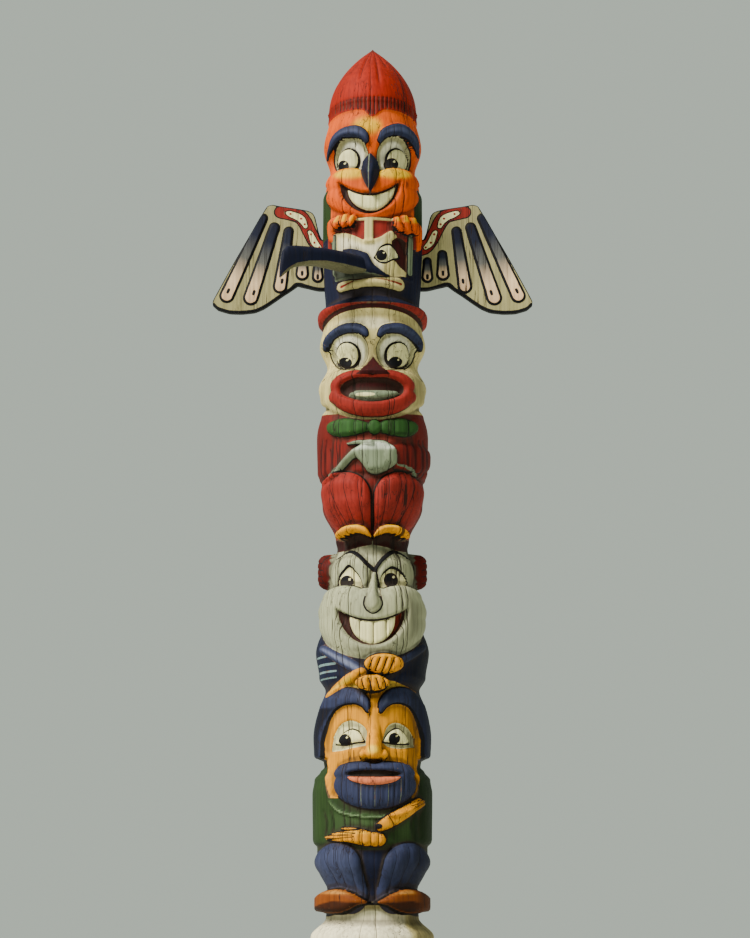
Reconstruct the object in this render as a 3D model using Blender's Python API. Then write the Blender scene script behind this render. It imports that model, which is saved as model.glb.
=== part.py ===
"""A carved and painted totem pole of western red cedar, with two board wings and a housed beak.

Metres, +Z up. The front of the pole faces -Y, and the origin is on the pole's axis at the flat
underside of the log, where it stands on the ground.

The log is one skin r(turn, height): the turn is 0 at the front and grows towards the viewer's right.
Each figure has its own function, which raises and sinks that skin inside outlines drawn in x and z.
"""
from math import cos, pi, radians, sin

import bmesh
import bpy
import numpy as np
from mathutils import Matrix

# Driving sizes
POLE_HEIGHT = 6.80           # ground to the tip of the hood
POLE_DIAMETER = 0.70         # of the bare log, across its fullest figures
WING_SPAN = 2.106            # tip to tip of the two wings
WING_THICKNESS = 0.050
WING_ROOT_HEIGHT = 0.346     # of the root that goes into the log
WING_HOUSING = 0.095         # how deep a wing's root goes into the log
FEATHER_RELIEF = 0.008       # raised feathers on the front of each wing
BEAK_LENGTH = 0.806          # from the beak's inner end to its tip
BEAK_WIDTH = 0.150
BEAK_YAW = radians(52)       # the beak points to the viewer's left
CLEARANCE = 0.0003           # all round each piece that is housed in the log

# Fineness of the faceted log
COLUMNS = 132
ROWS = 520
POLE_TRIANGLES = 6900

# The carving is drawn on a pole of this height; heights and half widths below are metres on that pole
DRAWN_HEIGHT = 6.80

# Outline of the bare log under its carving: height, half width
PROFILE = [
    (0.00, 0.425), (0.20, 0.420), (0.235, 0.385), (0.30, 0.385), (0.46, 0.428), (0.60, 0.380),
    (0.80, 0.425),
    (0.940, 0.378), (1.05, 0.286), (1.12, 0.278), (1.21, 0.278), (1.40, 0.342), (1.475, 0.342),
    (1.50, 0.358), (1.80, 0.362),
    (1.885, 0.350), (1.935, 0.325), (1.965, 0.300), (2.00, 0.305), (2.02, 0.340), (2.155, 0.345),
    (2.324, 0.332), (2.44, 0.296),
    (2.52, 0.330), (2.68, 0.352), (2.82, 0.322),
    (2.94, 0.345), (3.09, 0.279), (3.20, 0.276), (3.345, 0.225), (3.40, 0.235), (3.62, 0.322),
    (3.715, 0.334),
    (3.775, 0.326), (3.80, 0.342), (4.07, 0.348), (4.21, 0.334), (4.265, 0.303), (4.40, 0.351),
    (4.542, 0.295),
    (4.69, 0.346), (4.822, 0.322), (4.85, 0.332), (4.90, 0.340), (4.938, 0.308), (5.16, 0.322),
    (5.37, 0.330),
    (5.71, 0.330), (5.765, 0.312), (5.897, 0.283), (6.075, 0.327), (6.30, 0.286), (6.32, 0.292),
]
HOOD_LOW = 6.32
HOOD_HALF_WIDTH = 0.295
CARVED_HALF_WIDTHS = (0.290, 0.350)  # least and most distance from the axis at which outlines are drawn
STANDS_PROUD = 0.03          # most of the carving, of the bare log


def ease(t):
    t = np.clip(t, 0, 1)
    return t * t * (3 - 2 * t)


def bulge(t):
    """A quarter round: rises steeply from 0 and is level at 1."""
    t = np.clip(t, 0, 1)
    return np.sqrt(t * (2 - t))


def oval(x, z, cx, cz, rx, rz):
    """Distance to an oval's outline, negative inside."""
    u, v = (x - cx) / rx, (z - cz) / rz
    k = np.hypot(u, v)
    return k * (k - 1) / np.maximum(np.hypot(u / rx, v / rz), 1e-6)


def band(z, low, high):
    return np.maximum(low - z, z - high)


def smooth_path(points, count):
    """Catmull-Rom through rows of (x, z, half width)."""
    p = np.array(points, float)
    p = np.vstack([2 * p[0] - p[1], p, 2 * p[-1] - p[-2]])
    t = np.linspace(0, len(points) - 1, count)
    i = np.minimum(t.astype(int), len(points) - 2)
    f = (t - i)[:, None]
    a, b, c, d = p[i], p[i + 1], p[i + 2], p[i + 3]
    return 0.5 * (2 * b + (c - a) * f + (2 * a - 5 * b + 4 * c - d) * f**2 + (3 * b - a - 3 * c + d)
                  * f**3)


def stroke(x, z, points, count=12):
    """Distance to a tapering stroke through rows of (x, z, half width), negative inside."""
    path = smooth_path(points, count) if len(points) > 2 else np.array(points, float)
    nearest = np.full(np.shape(x), 9.0)
    for (ax, az, aw), (bx, bz, bw) in zip(path[:-1], path[1:]):
        dx, dz = bx - ax, bz - az
        t = np.clip(((x - ax) * dx + (z - az) * dz) / (dx * dx + dz * dz), 0, 1)
        nearest = np.minimum(nearest, np.hypot(x - ax - t * dx, z - az - t * dz) - aw - t * (bw - aw))
    return nearest


def smile(x, z, cx, corner, low, half, sag):
    """A grin: the lower part of an oval under an upper lip that sags between its corners."""
    u = (x - cx) / half
    return np.maximum(oval(x, z, cx, corner, half, corner - low), z - (corner - sag * (1 - u * u)))


def between(x, z, upper, lower):
    """Distance to a field between an upper and a lower edge, each a curve through rows of (x, z)."""
    top, foot = smooth_path(upper, 40), smooth_path(lower, 40)
    over = z - np.interp(x, top[:, 0], top[:, 1])
    under = np.interp(x, foot[:, 0], foot[:, 1]) - z
    return np.maximum(np.maximum(over, under), np.maximum(upper[0][0] - x, x - upper[-1][0]))


def half_width(z):
    """Half the log's width at a height, eased between the knots of PROFILE; the hood is a turned cone."""
    heights, widths = np.array(PROFILE).T
    i = np.clip(np.searchsorted(heights, z) - 1, 0, len(heights) - 2)
    log = widths[i] + (widths[i + 1] - widths[i]) * ease((z - heights[i]) / (heights[i + 1] - heights[i]))
    t = (DRAWN_HEIGHT - z) / (DRAWN_HEIGHT - HOOD_LOW)
    return np.where(z > HOOD_LOW, np.maximum(HOOD_HALF_WIDTH * t * (2 - t), 0.004), log)


class Log:
    """The log's skin: r is how far it stands from the axis at each turn (0 is the front) and height."""

    def __init__(self, turn, z):
        self.turn, self.z = turn, z
        self.front = np.cos(turn)
        self.r = half_width(z)
        self.bare = self.r.copy()
        self.x = np.clip(self.r + STANDS_PROUD, *CARVED_HALF_WIDTHS) * np.sin(turn)
        self.side = np.abs(self.x)
        self.behind = -self.r * self.front

    def tipped(self, slope):
        """Heights for a face that is tipped forward: outlines droop towards the front."""
        return self.z + slope * self.bare * np.maximum(self.front, 0)

    def ahead(self, sd):
        """Only the part of a shape on the log's front half."""
        return np.maximum(sd, self.behind)

    def step(self, sd, height, edge=0.012):
        self.r = self.r + height * ease(0.5 - sd / edge)

    def dome(self, sd, height, reach):
        self.r = self.r + height * bulge(-sd / reach)

    def boss(self, sd, foot, height, reach):
        """A rounded swelling that starts at the distance foot from the axis, whatever lies under it."""
        self.r = np.where(sd < 0, np.maximum(self.r, foot + height * bulge(-sd / reach)), self.r)

    def level(self, sd, distance, edge):
        """A flat area at one distance from the axis, with a sloping edge inside its outline."""
        self.r = self.r + (distance - self.r) * ease(-sd / edge)

    def groove(self, sd, depth, width, within=-1.0):
        """A groove along an outline, inside another shape."""
        self.r = self.r - depth * np.exp(-((sd / width) ** 2)) * ease(0.5 - within / 0.01)


def brows(log, z, left, right, height):
    """Two raised brows, each a stroke drawn for its own side."""
    brow = log.ahead(np.minimum(stroke(log.x, z, left, 16), stroke(log.x, z, right, 16)))
    log.step(brow, height, 0.025)


def round_eyes(log, z, socket, ball):
    """Two hollowed sockets with eyeballs in them."""
    hollow = log.ahead(oval(log.side, z, *socket))
    log.step(hollow, -0.030, 0.03)
    globe = log.ahead(oval(log.side, z, *ball))
    log.dome(globe, 0.034, 0.06)


def hood(log):
    x, side, z = log.x, log.side, log.tipped(0.22)
    dip = 0.056 * np.exp(-((x / 0.05) ** 2)) * (log.front > 0)
    low = 6.308 - dip - 0.040 * (side / .29) ** 4
    high = 6.412 - 0.035 * (side / .28) ** 3
    for turn, reach in ((-1.3, .30), (-.75, .30), (-.32, .36), (-.12, .22), (.16, .40), (.5, .25),
                        (1.0, .30), (1.7, .28), (2.6, .30), (-2.2, .30)):
        off = ((log.turn - turn + pi) % (2 * pi) - pi) * log.r
        fade = ease((log.z - (DRAWN_HEIGHT - reach)) / 0.1) * ease((DRAWN_HEIGHT - log.z) / 0.04)
        log.r = log.r - 0.010 * np.minimum(log.r / .15, 1) * np.exp(-((off / 0.012) ** 2)) * fade
    knit = band(z, low, high)
    log.step(np.maximum(low - z, z - high + .03), 0.010, 0.02)
    rib = np.abs((log.turn * .31 / .030) % 1 - .5) * .030
    log.r = log.r - 0.008 * np.exp(-((rib / 0.006) ** 2)) * ease(-knit / 0.02)


def watchman(log):
    x, side, z = log.x, log.side, log.tipped(0.22)
    round_eyes(log, z, (.162, 5.977, .131, .147), (.188, 5.958, .084, .086))
    left = [(-.322, 5.99, .006), (-.304, 6.045, .014), (-.258, 6.116, .026), (-.205, 6.146, .034),
            (-.123, 6.150, .039), (-.068, 6.123, .034), (-.045, 6.085, .020)]
    right = [(.052, 6.085, .018), (.085, 6.133, .032), (.14, 6.158, .038), (.20, 6.166, .044),
             (.258, 6.140, .040), (.300, 6.085, .026), (.325, 6.01, .008)]
    brows(log, z, left, right, 0.020)
    cheeks = log.ahead(np.minimum(oval(side, z, .155, 5.785, .157, .104),
                                  oval(x, z, 0, 5.700, .312, .152)))
    log.boss(cheeks, 0.332, 0.048, 0.10)
    mouth = log.ahead(smile(x, z, -.022, 5.787, 5.573, .188, .082))
    log.step(mouth, -0.050, 0.025)
    teeth = log.ahead(np.maximum(mouth + 0.012, oval(x, z, -.004, 5.74, .158, .150)))
    log.step(teeth, 0.034, 0.02)
    for cx in (-.062, .022, .105):
        log.groove(x - cx, 0.008, 0.006, teeth)
    along = np.clip((5.981 - z) / 0.283, 0, 1)
    width = 0.059 * np.sin(pi * along ** .72)
    off = np.abs(x + .014)
    nose = log.ahead(np.where((along > 0) & (along < 1), off - width, 0.05))
    ridge = np.clip(1.25 - off / np.maximum(width, .004), 0, 1)
    log.r = np.where(nose < 0, np.maximum(log.r, 0.318 + (0.035 + 0.085 * ease(along / 0.6)) * ridge),
                     log.r)


def paws(log):
    x, z = log.x, log.tipped(0.22)
    left = stroke(x, z, [(-.268, 5.40, .014), (-.270, 5.46, .022), (-.255, 5.515, .034),
                         (-.205, 5.530, .036)])
    right = stroke(x, z, [(.300, 5.345, .012), (.302, 5.44, .020), (.285, 5.50, .028),
                          (.215, 5.525, .034)])
    palm = log.ahead(np.minimum(left, right))
    log.boss(palm, 0.345, 0.030, 0.03)
    fingers = (
        [(-.205, 5.545, .020), (-.224, 5.505, .024), (-.226, 5.486, .018)],
        [(-.165, 5.548, .022), (-.178, 5.508, .025), (-.180, 5.488, .018)],
        [(-.122, 5.540, .020), (-.135, 5.508, .022), (-.138, 5.492, .016)],
        [(.150, 5.530, .020), (.158, 5.495, .024), (.176, 5.462, .020)],
        [(.198, 5.545, .022), (.208, 5.495, .026), (.222, 5.452, .021)],
        [(.250, 5.535, .022), (.262, 5.490, .025), (.270, 5.452, .020)],
    )
    for points in fingers:
        finger = log.ahead(stroke(x, z, points))
        log.boss(finger, 0.355, 0.034, 0.022)


def raven(log):
    x, side, z = log.x, log.side, log.z
    top = [(-.262, 5.395), (-.237, 5.396), (-.183, 5.384), (-.130, 5.361), (-.082, 5.334), (-.056, 5.324),
           (.005, 5.327), (.058, 5.347), (.093, 5.373), (.132, 5.391), (.163, 5.359), (.205, 5.30),
           (.233, 5.24)]
    face = log.ahead(between(x, z, top, [(-.262, 5.08), (.233, 5.08)]))
    log.step(face, 0.014, 0.02)
    bar = log.ahead(np.minimum(np.maximum(band(z, 5.30, 5.475), np.abs(x + .0245) - .0295),
                               np.maximum(band(z, 5.455, 5.473), np.abs(x - .02) - .125)))
    log.step(bar, 0.014, 0.012)
    temple = log.ahead(between(x, z, [(.130, 5.322), (.165, 5.350), (.205, 5.352), (.234, 5.335)],
                               [(.130, 5.215), (.154, 5.192), (.190, 5.155), (.234, 5.128)]))
    log.step(temple, -0.014, 0.015)
    stripe = log.ahead(stroke(side, z, [(.258, 5.37, .018), (.258, 5.13, .018)]))
    log.step(stripe, 0.012, 0.012)
    lid = [(.014, 5.205), (.045, 5.263), (.088, 5.291), (.125, 5.292), (.154, 5.275), (.186, 5.222)]
    low = [(.014, 5.198), (.050, 5.172), (.092, 5.171), (.132, 5.194), (.186, 5.216)]
    eye = log.ahead(np.minimum(between(x, z, lid, low), between(-.049 - x, z + .035, lid, low)))
    log.step(eye, -0.010, 0.012)
    log.dome(eye, 0.014, 0.04)
    root = log.ahead(between(x, z, [(-.20, 5.275), (-.139, 5.268), (-.064, 5.242), (-.029, 5.222),
                                    (.001, 5.162), (.045, 5.126), (.092, 5.095), (.150, 5.086),
                                    (.285, 5.100)],
                                    [(-.20, 5.150), (-.064, 5.109), (.023, 5.090), (.088, 5.080),
                                     (.285, 5.080)]))
    log.dome(root, 0.034, 0.06)
    lips = log.ahead(stroke(x, z, [(-.212, 5.026, .034), (-.13, 5.031, .034), (0, 5.041, .032),
                                   (.12, 5.039, .040), (.175, 5.036, .045)]))
    log.dome(lips, 0.034, 0.03)
    part = log.ahead(stroke(x, z, [(-.208, 5.024, .008), (-.180, 5.031, .006), (-.134, 5.050, .004),
                                   (-.082, 5.060, .003), (0, 5.062, .003), (.066, 5.058, .004),
                                   (.132, 5.048, .005), (.188, 5.038, .008)]))
    log.groove(part, 0.012, 0.010)


def clown(log):
    x, side = log.x, log.side
    forward = np.maximum(log.front, 0)
    z = log.tipped(0.20)
    roll = band(log.z, 4.818 + 0.074 * forward, 4.897 + 0.057 * forward)
    log.dome(roll, 0.026, 0.03)
    round_eyes(log, z, (.171, 4.650, .142, .134), (.186, 4.622, .088, .088))
    left = [(-.322, 4.66, .006), (-.300, 4.715, .017), (-.262, 4.762, .024), (-.193, 4.795, .030),
            (-.112, 4.797, .030), (-.060, 4.775, .028), (-.040, 4.750, .016)]
    right = [(.045, 4.748, .017), (.070, 4.780, .028), (.116, 4.795, .030), (.190, 4.798, .032),
             (.255, 4.768, .030), (.304, 4.716, .018), (.325, 4.66, .006)]
    brows(log, z, left, right, 0.020)
    muzzle = log.ahead(np.minimum(oval(x, z, 0, 4.365, .352, .176),
                                  oval(side, z, .17, 4.405, .175, .120)))
    log.boss(muzzle, 0.332, 0.045, 0.12)
    lips = log.ahead(np.minimum(oval(x, z, 0, 4.335, .247, .133), oval(side, z, .105, 4.405, .142, .105)))
    log.dome(lips, 0.034, 0.05)
    nose = log.ahead(np.maximum(np.abs(x - .004) - .008 - .72 * (4.588 - z), 4.484 - z))
    log.r = np.where(nose < 0, np.maximum(log.r, 0.340 + 0.075 * ease((4.588 - z) / 0.10)), log.r)
    mouth = log.ahead(np.maximum(oval(x, z, -.003, 4.382, .184, .088), z - 4.460))
    log.step(mouth, -0.055, 0.03)
    tongue = log.ahead(np.maximum(np.maximum(mouth + .008, oval(x, z, .016, 4.338, .154, .047)),
                                  z - 4.370))
    log.dome(tongue, 0.038, 0.03)


def clown_body(log):
    x, side, z = log.x, log.side, log.tipped(0.20)
    chin = log.ahead(oval(x, z, 0, 4.365, .352, .176))
    sleeve = stroke(side, z, [(.30, 4.16, .055), (.335, 4.03, .06), (.335, 3.88, .06)])
    log.step(np.maximum(sleeve, log.behind - .15), 0.013, 0.04)
    for cx in (.215, .262, .298, .325):
        fold = stroke(side, z, [(cx - .01, 4.06, .001), (cx, 3.98, .005), (cx + .004, 3.86, .004),
                                (cx - .01, 3.80, .001)])
        log.groove(fold, 0.007, 0.006)
    lobes = stroke(side, z, [(.045, 4.140, .034), (.115, 4.140, .053), (.185, 4.138, .062),
                             (.220, 4.136, .055)])
    bow = log.ahead(np.maximum(np.minimum(lobes, oval(x, z, .012, 4.140, .042, .050)), -chin))
    log.dome(bow, 0.036, 0.03)
    for cx in (-.20, -.11, -.035, .052, .13, .215):
        log.groove(x - cx, 0.011, 0.008, bow)
    arm = log.ahead(stroke(x, z, [(.29, 3.93, .088), (.22, 3.945, .088), (.15, 3.95, .082)]))
    log.dome(arm, 0.022, 0.05)


def clown_legs(log):
    side, z = log.side, log.tipped(0.20)
    leg = log.ahead(stroke(side, z, [(.170, 3.69, .163), (.160, 3.60, .154), (.130, 3.48, .125),
                                     (.115, 3.40, .110)]))
    leg = np.maximum(leg, 3.435 - z)
    log.r = log.r + 0.058 * bulge(-leg / 0.09) * (0.45 + 0.55 * ease((z - 3.40) / 0.25))
    for cx in (.085, .165, .245):
        off = side - cx * (0.55 + 0.45 * ease((z - 3.4) / .35))
        log.groove(off, 0.007, 0.009, leg + .01)
    upper = [(.003, 3.428), (.035, 3.482), (.075, 3.502), (.112, 3.507), (.155, 3.497), (.190, 3.472),
             (.219, 3.418)]
    lower = [(.003, 3.416), (.050, 3.436), (.103, 3.449), (.160, 3.430), (.219, 3.402)]
    foot = log.ahead(between(side, z, upper, lower))
    log.boss(foot, 0.290, 0.058, 0.035)


def clown_hands(log):
    x, z = log.x, log.tipped(0.20)
    upper = [(-.325, 3.778), (-.231, 3.890), (-.142, 3.986), (-.085, 4.022), (-.030, 4.052),
             (.055, 4.056), (.110, 4.032), (.138, 3.985), (.146, 3.93)]
    lower = [(-.325, 3.755), (-.302, 3.757), (-.205, 3.836), (-.116, 3.934), (-.085, 3.925),
             (-.047, 3.875), (-.022, 3.840), (.035, 3.833), (.098, 3.862), (.138, 3.895), (.146, 3.92)]
    palm = log.ahead(between(x, z, upper, lower))
    log.dome(palm, 0.050, 0.06)
    thumb = log.ahead(stroke(x, z, [(-.01, 4.038, .016), (-.08, 4.042, .014), (-.150, 4.032, .008)]))
    log.dome(thumb, 0.036, 0.014)
    for cx, cz in ((-.185, 3.92), (-.255, 3.845)):
        off = (x - cx) * .8 - (z - cz) * .6
        log.groove(off, .012, .007, palm)
    fingers = log.ahead(stroke(x, z, [(.150, 3.893, .005), (.200, 3.884, .008), (.255, 3.853, .009),
                                      (.305, 3.785, .007)]))
    log.dome(fingers, 0.018, 0.010)


def grinner(log):
    x, side, z = log.x, log.side, log.tipped(0.12)
    lid = log.ahead(oval(side, z, .150, 3.175, .135, .140))
    log.dome(lid, 0.026, 0.06)
    left = stroke(x, z, [(.014, 3.198, .014), (-.040, 3.244, .014), (-.090, 3.292, .013),
                         (-.154, 3.322, .011), (-.204, 3.306, .009), (-.238, 3.272, .005)])
    right = stroke(x, z, [(.014, 3.198, .014), (.060, 3.264, .014), (.123, 3.311, .013),
                          (.173, 3.320, .011), (.224, 3.302, .009), (.263, 3.272, .005)])
    brow = log.ahead(np.minimum(left, right))
    log.dome(brow, 0.014, 0.012)
    arch = [(-.234, 3.075), (-.218, 3.152), (-.186, 3.197), (-.149, 3.226), (-.103, 3.184),
            (-.073, 3.137), (-.058, 3.080)]
    arch_right = [(.042, 3.080), (.058, 3.160), (.094, 3.201), (.130, 3.216), (.174, 3.198),
                  (.212, 3.154), (.238, 3.080)]
    eye = log.ahead(np.minimum(between(x, z, arch, [(-.234, 3.02), (-.058, 3.02)]),
                               between(x, z, arch_right, [(.042, 3.02), (.238, 3.02)])))
    log.step(eye, -0.014, 0.02)
    turn = np.abs(log.turn)
    ear = oval((turn - radians(84)) * .33, log.z, 0, 3.195, .072, .118)
    log.boss(ear, 0.268, 0.082, 0.06)
    for dz in (-.062, -.02, .022, .064):
        off = (log.z - 3.19 - dz) - .25 * (turn - radians(84)) * .33
        log.groove(off, 0.006, 0.006, ear + .020)
    muzzle = log.ahead(np.minimum(oval(side, z, .160, 2.940, .192, .162),
                                  oval(x, z, 0, 2.865, .350, .222)))
    log.boss(muzzle, 0.325, 0.058, 0.13)
    nose = log.ahead(stroke(x, z, [(.012, 3.172, .012), (.006, 3.110, .024), (.002, 3.020, .044),
                                   (.004, 2.985, .053), (.004, 2.950, .028)]))
    log.r = np.where(nose < 0, np.maximum(log.r,
                                          0.305 + (0.015 + 0.095
                                                   * ease((3.185 - z) / .17)) * bulge(-nose / 0.04)),
                                                   log.r)
    mouth = log.ahead(smile(x, z, -.005, 2.950, 2.732, .204, .070))
    log.step(mouth, -0.050, 0.03)
    teeth = log.ahead(np.maximum(mouth + .006, oval(x, z, .000, 2.895, .142, .156)))
    log.step(teeth, 0.034, 0.02)
    for cx in (-.078, .006, .082):
        log.groove(x - cx, 0.012, 0.007, teeth)


def grinner_body(log):
    x, side, z = log.x, log.side, log.tipped(0.12)
    chin = log.ahead(oval(x, z, 0, 2.865, .350, .222))
    sleeve = stroke(side, z, [(.345, 2.72, .06), (.350, 2.60, .065), (.30, 2.52, .055), (.20, 2.50, .05)])
    log.step(np.maximum(sleeve, log.behind - .15), 0.006, 0.05)
    collar = log.ahead(np.maximum(stroke(x, z, [(-.300, 2.705, .026), (-.20, 2.645, .036),
                                                (-.10, 2.590, .034), (-.03, 2.565, .020)]), -chin))
    log.dome(collar, 0.012, 0.03)
    other = log.ahead(np.maximum(stroke(x, z, [(.310, 2.72, .020), (.24, 2.665, .024),
                                               (.16, 2.625, .020)]), -chin))
    log.dome(other, 0.014, 0.018)


def grinner_fists(log):
    x, z = log.x, log.tipped(0.12)
    wrist = log.ahead(stroke(x, z, [(-.070, 2.555, .036), (-.150, 2.520, .034), (-.235, 2.462, .026),
                                    (-.290, 2.42, .018)]))
    log.dome(wrist, 0.020, 0.03)
    upper = log.ahead(oval(x, z, .066, 2.612, .116, .068))
    log.boss(upper, 0.360, 0.058, 0.045)
    for cx in (-.012, .026, .064, .102):
        off = (x - cx) * .95 - (z - 2.600) * .32
        log.groove(off, .018, .007, np.maximum(upper + .012, z - 2.655))
    lower = log.ahead(oval(x, z, .000, 2.492, .096, .056))
    log.boss(lower, 0.362, 0.058, 0.04)
    for cx in (-.050, -.012, .026, .062):
        off = (x - cx) * .97 + (z - 2.49) * .20
        log.groove(off, .018, .007, np.maximum(lower + .008, z - 2.525))


def thinker(log):
    x, side, z = log.x, log.side, log.tipped(0.06)
    jaw = log.ahead(np.maximum(band(z, 1.78, 2.40), side - np.minimum(.265 + .30 * (z - 1.83), .315)))
    log.level(jaw, 0.322, 0.03)
    surround = np.minimum(between(x, z, [(-.276, 2.070), (-.264, 2.150), (-.217, 2.224), (-.142, 2.251),
                                         (-.057, 2.214), (-.026, 2.151), (-.028, 2.112)],
                                         [(-.276, 2.060), (-.200, 2.069), (-.140, 2.083), (-.060, 2.095),
                                          (-.028, 2.106)]),
                          between(x, z, [(.068, 2.130), (.102, 2.212), (.165, 2.237), (.240, 2.204),
                                         (.280, 2.143), (.286, 2.096)],
                                         [(.068, 2.118), (.106, 2.090), (.190, 2.079), (.286, 2.088)]))
    surround = log.ahead(surround)
    log.step(surround, -0.014, 0.02)
    eye = np.minimum(between(x, z, [(-.254, 2.108), (-.206, 2.168), (-.142, 2.199), (-.089, 2.182),
                                    (-.062, 2.138), (-.050, 2.122)],
                                    [(-.254, 2.104), (-.180, 2.101), (-.110, 2.115), (-.050, 2.119)]),
                     between(x, z, [(.068, 2.122), (.112, 2.178), (.167, 2.204), (.220, 2.174),
                                    (.254, 2.112)],
                                    [(.068, 2.118), (.120, 2.112), (.173, 2.105), (.254, 2.108)]))
    eye = log.ahead(eye)
    log.dome(eye, 0.020, 0.04)
    left = stroke(x, z, [(-.030, 2.315, .018), (-.052, 2.362, .034), (-.108, 2.396, .046),
                         (-.190, 2.398, .054), (-.262, 2.362, .052), (-.312, 2.270, .036),
                         (-.332, 2.150, .028), (-.334, 2.040, .026)], 20)
    right = stroke(x, z, [(.054, 2.312, .018), (.075, 2.358, .034), (.130, 2.398, .046),
                          (.205, 2.402, .052), (.268, 2.368, .048), (.314, 2.280, .034),
                          (.332, 2.150, .026), (.334, 2.040, .024)], 20)
    brow = log.ahead(np.minimum(left, right))
    log.step(brow, 0.026, 0.025)
    nose = log.ahead(stroke(x, z, [(.008, 2.30, .034), (.008, 2.20, .042), (.007, 2.10, .050),
                                   (.007, 2.054, .054)]))
    log.r = np.where(nose < 0, np.maximum(log.r,
                                          0.318 + (0.012 + 0.085
                                                   * ease((2.26 - z) / .20)) * bulge(-nose / 0.050)),
                                                   log.r)
    wings = log.ahead(oval(np.abs(x - .007), z, .062, 2.043, .030, .032))
    log.boss(wings, 0.325, 0.060, 0.03)


def thinker_coat(log):
    x, side, z = log.x, log.side, log.tipped(0.06)
    whiskers = log.ahead(np.maximum(np.minimum(oval(x, z, .015, 1.856, .243, .146),
                                               oval(np.abs(x - .012), z, .09, 1.925, .15, .073)),
                                               -oval(x, z, .008, 2.035, .066, .048)))
    log.boss(whiskers, 0.350, 0.055, 0.08)
    mouth = log.ahead(oval(x, z, .008, 1.924, .146, .022))
    log.step(mouth, -0.035, 0.02)
    lip = log.ahead(np.maximum(oval(x, z, .008, 1.912, .142, .056), z - 1.908))
    log.dome(lip, 0.018, 0.02)
    hair = np.maximum(whiskers + .012, z - 1.895)
    strand = np.abs((x / .026) % 1 - .5) * .026
    log.r = log.r - 0.006 * np.exp(-((strand / 0.005) ** 2)) * ease(-np.maximum(hair, -lip) / 0.012)
    collar = log.ahead(np.maximum(stroke(side, z,
                                         [(.255, 1.765, .006), (.20, 1.706, .010), (.12, 1.680, .010),
                                          (.0, 1.668, .007)]), -whiskers))
    log.dome(collar, 0.018, 0.010)
    sleeve = stroke(side, z, [(.33, 1.86, .06), (.355, 1.72, .065), (.355, 1.56, .06)])
    log.step(np.maximum(sleeve, log.behind - .15), 0.012, 0.05)
    for cx in (.245, .285):
        fold = stroke(side, z, [(cx, 1.70, .001), (cx - .012, 1.62, .005), (cx, 1.54, .001)])
        log.groove(fold, 0.006, 0.007)


def thinker_legs(log):
    side, z = log.side, log.tipped(0.06)
    leg = log.ahead(stroke(side, z, [(.205, 1.370, .146), (.182, 1.30, .134), (.145, 1.21, .120)]))
    log.r = log.r + 0.055 * bulge(-leg / 0.08) * (0.5 + 0.5 * ease((z - 1.18) / .2))
    for cx in (.13, .20, .26):
        off = side - cx * (.7 + .3 * ease((z - 1.15) / .3))
        log.groove(off, 0.006, 0.009, leg + .01)
    upper = [(.004, 1.155), (.032, 1.173), (.063, 1.192), (.114, 1.220), (.176, 1.240), (.239, 1.232),
             (.285, 1.208), (.318, 1.165)]
    lower = [(.004, 1.150), (.032, 1.150), (.080, 1.138), (.120, 1.115), (.176, 1.092), (.239, 1.086),
             (.318, 1.090)]
    toe = log.ahead(between(side, z, upper, lower))
    heel = np.maximum(band(log.z, 1.085, 1.175), (np.abs(log.turn) - radians(112)) * .35)
    shoe = np.minimum(toe, np.maximum(heel, .300 - side))
    log.boss(shoe, 0.325, 0.050, 0.045)


def thinker_hands(log):
    x, z = log.x, log.tipped(0.06)
    arm = log.ahead(stroke(x, z, [(.262, 1.748, .034), (.185, 1.695, .039), (.100, 1.643, .042),
                                  (.048, 1.612, .032)]))
    log.dome(arm, 0.040, 0.03)
    log.groove((x - .105) * .86 + (z - 1.645) * .5, .012, .008, arm)
    for off in (-.008, .014):
        split = (z - 1.722 - off) - .55 * (x - .22)
        log.groove(split, .008, .006, np.maximum(arm + .004, .205 - x))
    hand = stroke(x, z, [(.036, 1.533, .044), (-.04, 1.540, .047), (-.12, 1.552, .040),
                         (-.20, 1.549, .030), (-.256, 1.540, .016)])
    thumb = stroke(x, z, [(-.04, 1.580, .015), (-.11, 1.594, .013), (-.172, 1.600, .008)])
    hand = log.ahead(np.minimum(hand, thumb))
    log.dome(hand, 0.044, 0.03)
    for cz, start in ((1.580, -.07), (1.560, -.085), (1.540, -.095)):
        log.groove(z - cz - .10 * (x + .18), .012, .006, np.maximum(hand, x - start))
    for cx in (-.055, -.008, .034):
        log.groove(x - cx, .012, .007, hand)


def elder(log):
    x, z = log.x, log.z
    round_eyes(log, z, (.175, .720, .150, .112), (.172, .706, .082, .072))
    left = [(-.05, .820, .020), (-.12, .856, .028), (-.21, .846, .026), (-.30, .780, .012)]
    right = [(.05, .820, .020), (.12, .856, .028), (.21, .846, .026), (.30, .780, .012)]
    brows(log, z, left, right, 0.018)
    nose = log.ahead(stroke(x, z, [(.0, .84, .02), (.0, .72, .03), (.0, .625, .05)]))
    log.r = np.where(nose < 0, np.maximum(log.r,
                                          0.405 + (0.02 + 0.06
                                                   * ease((.84 - z) / .22)) * bulge(-nose / 0.035)),
                                                   log.r)
    lips = log.ahead(oval(x, z, 0, .455, .235, .085))
    log.dome(lips, 0.030, 0.04)
    log.groove(z - .455, .024, .012, lips + .01)


def carved(turn, z):
    log = Log(turn, z)
    elder(log)
    thinker(log)
    thinker_coat(log)
    thinker_legs(log)
    thinker_hands(log)
    grinner_body(log)
    grinner(log)
    grinner_fists(log)
    clown_body(log)
    clown(log)
    clown_hands(log)
    clown_legs(log)
    raven(log)
    watchman(log)
    paws(log)
    hood(log)
    return log



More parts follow.
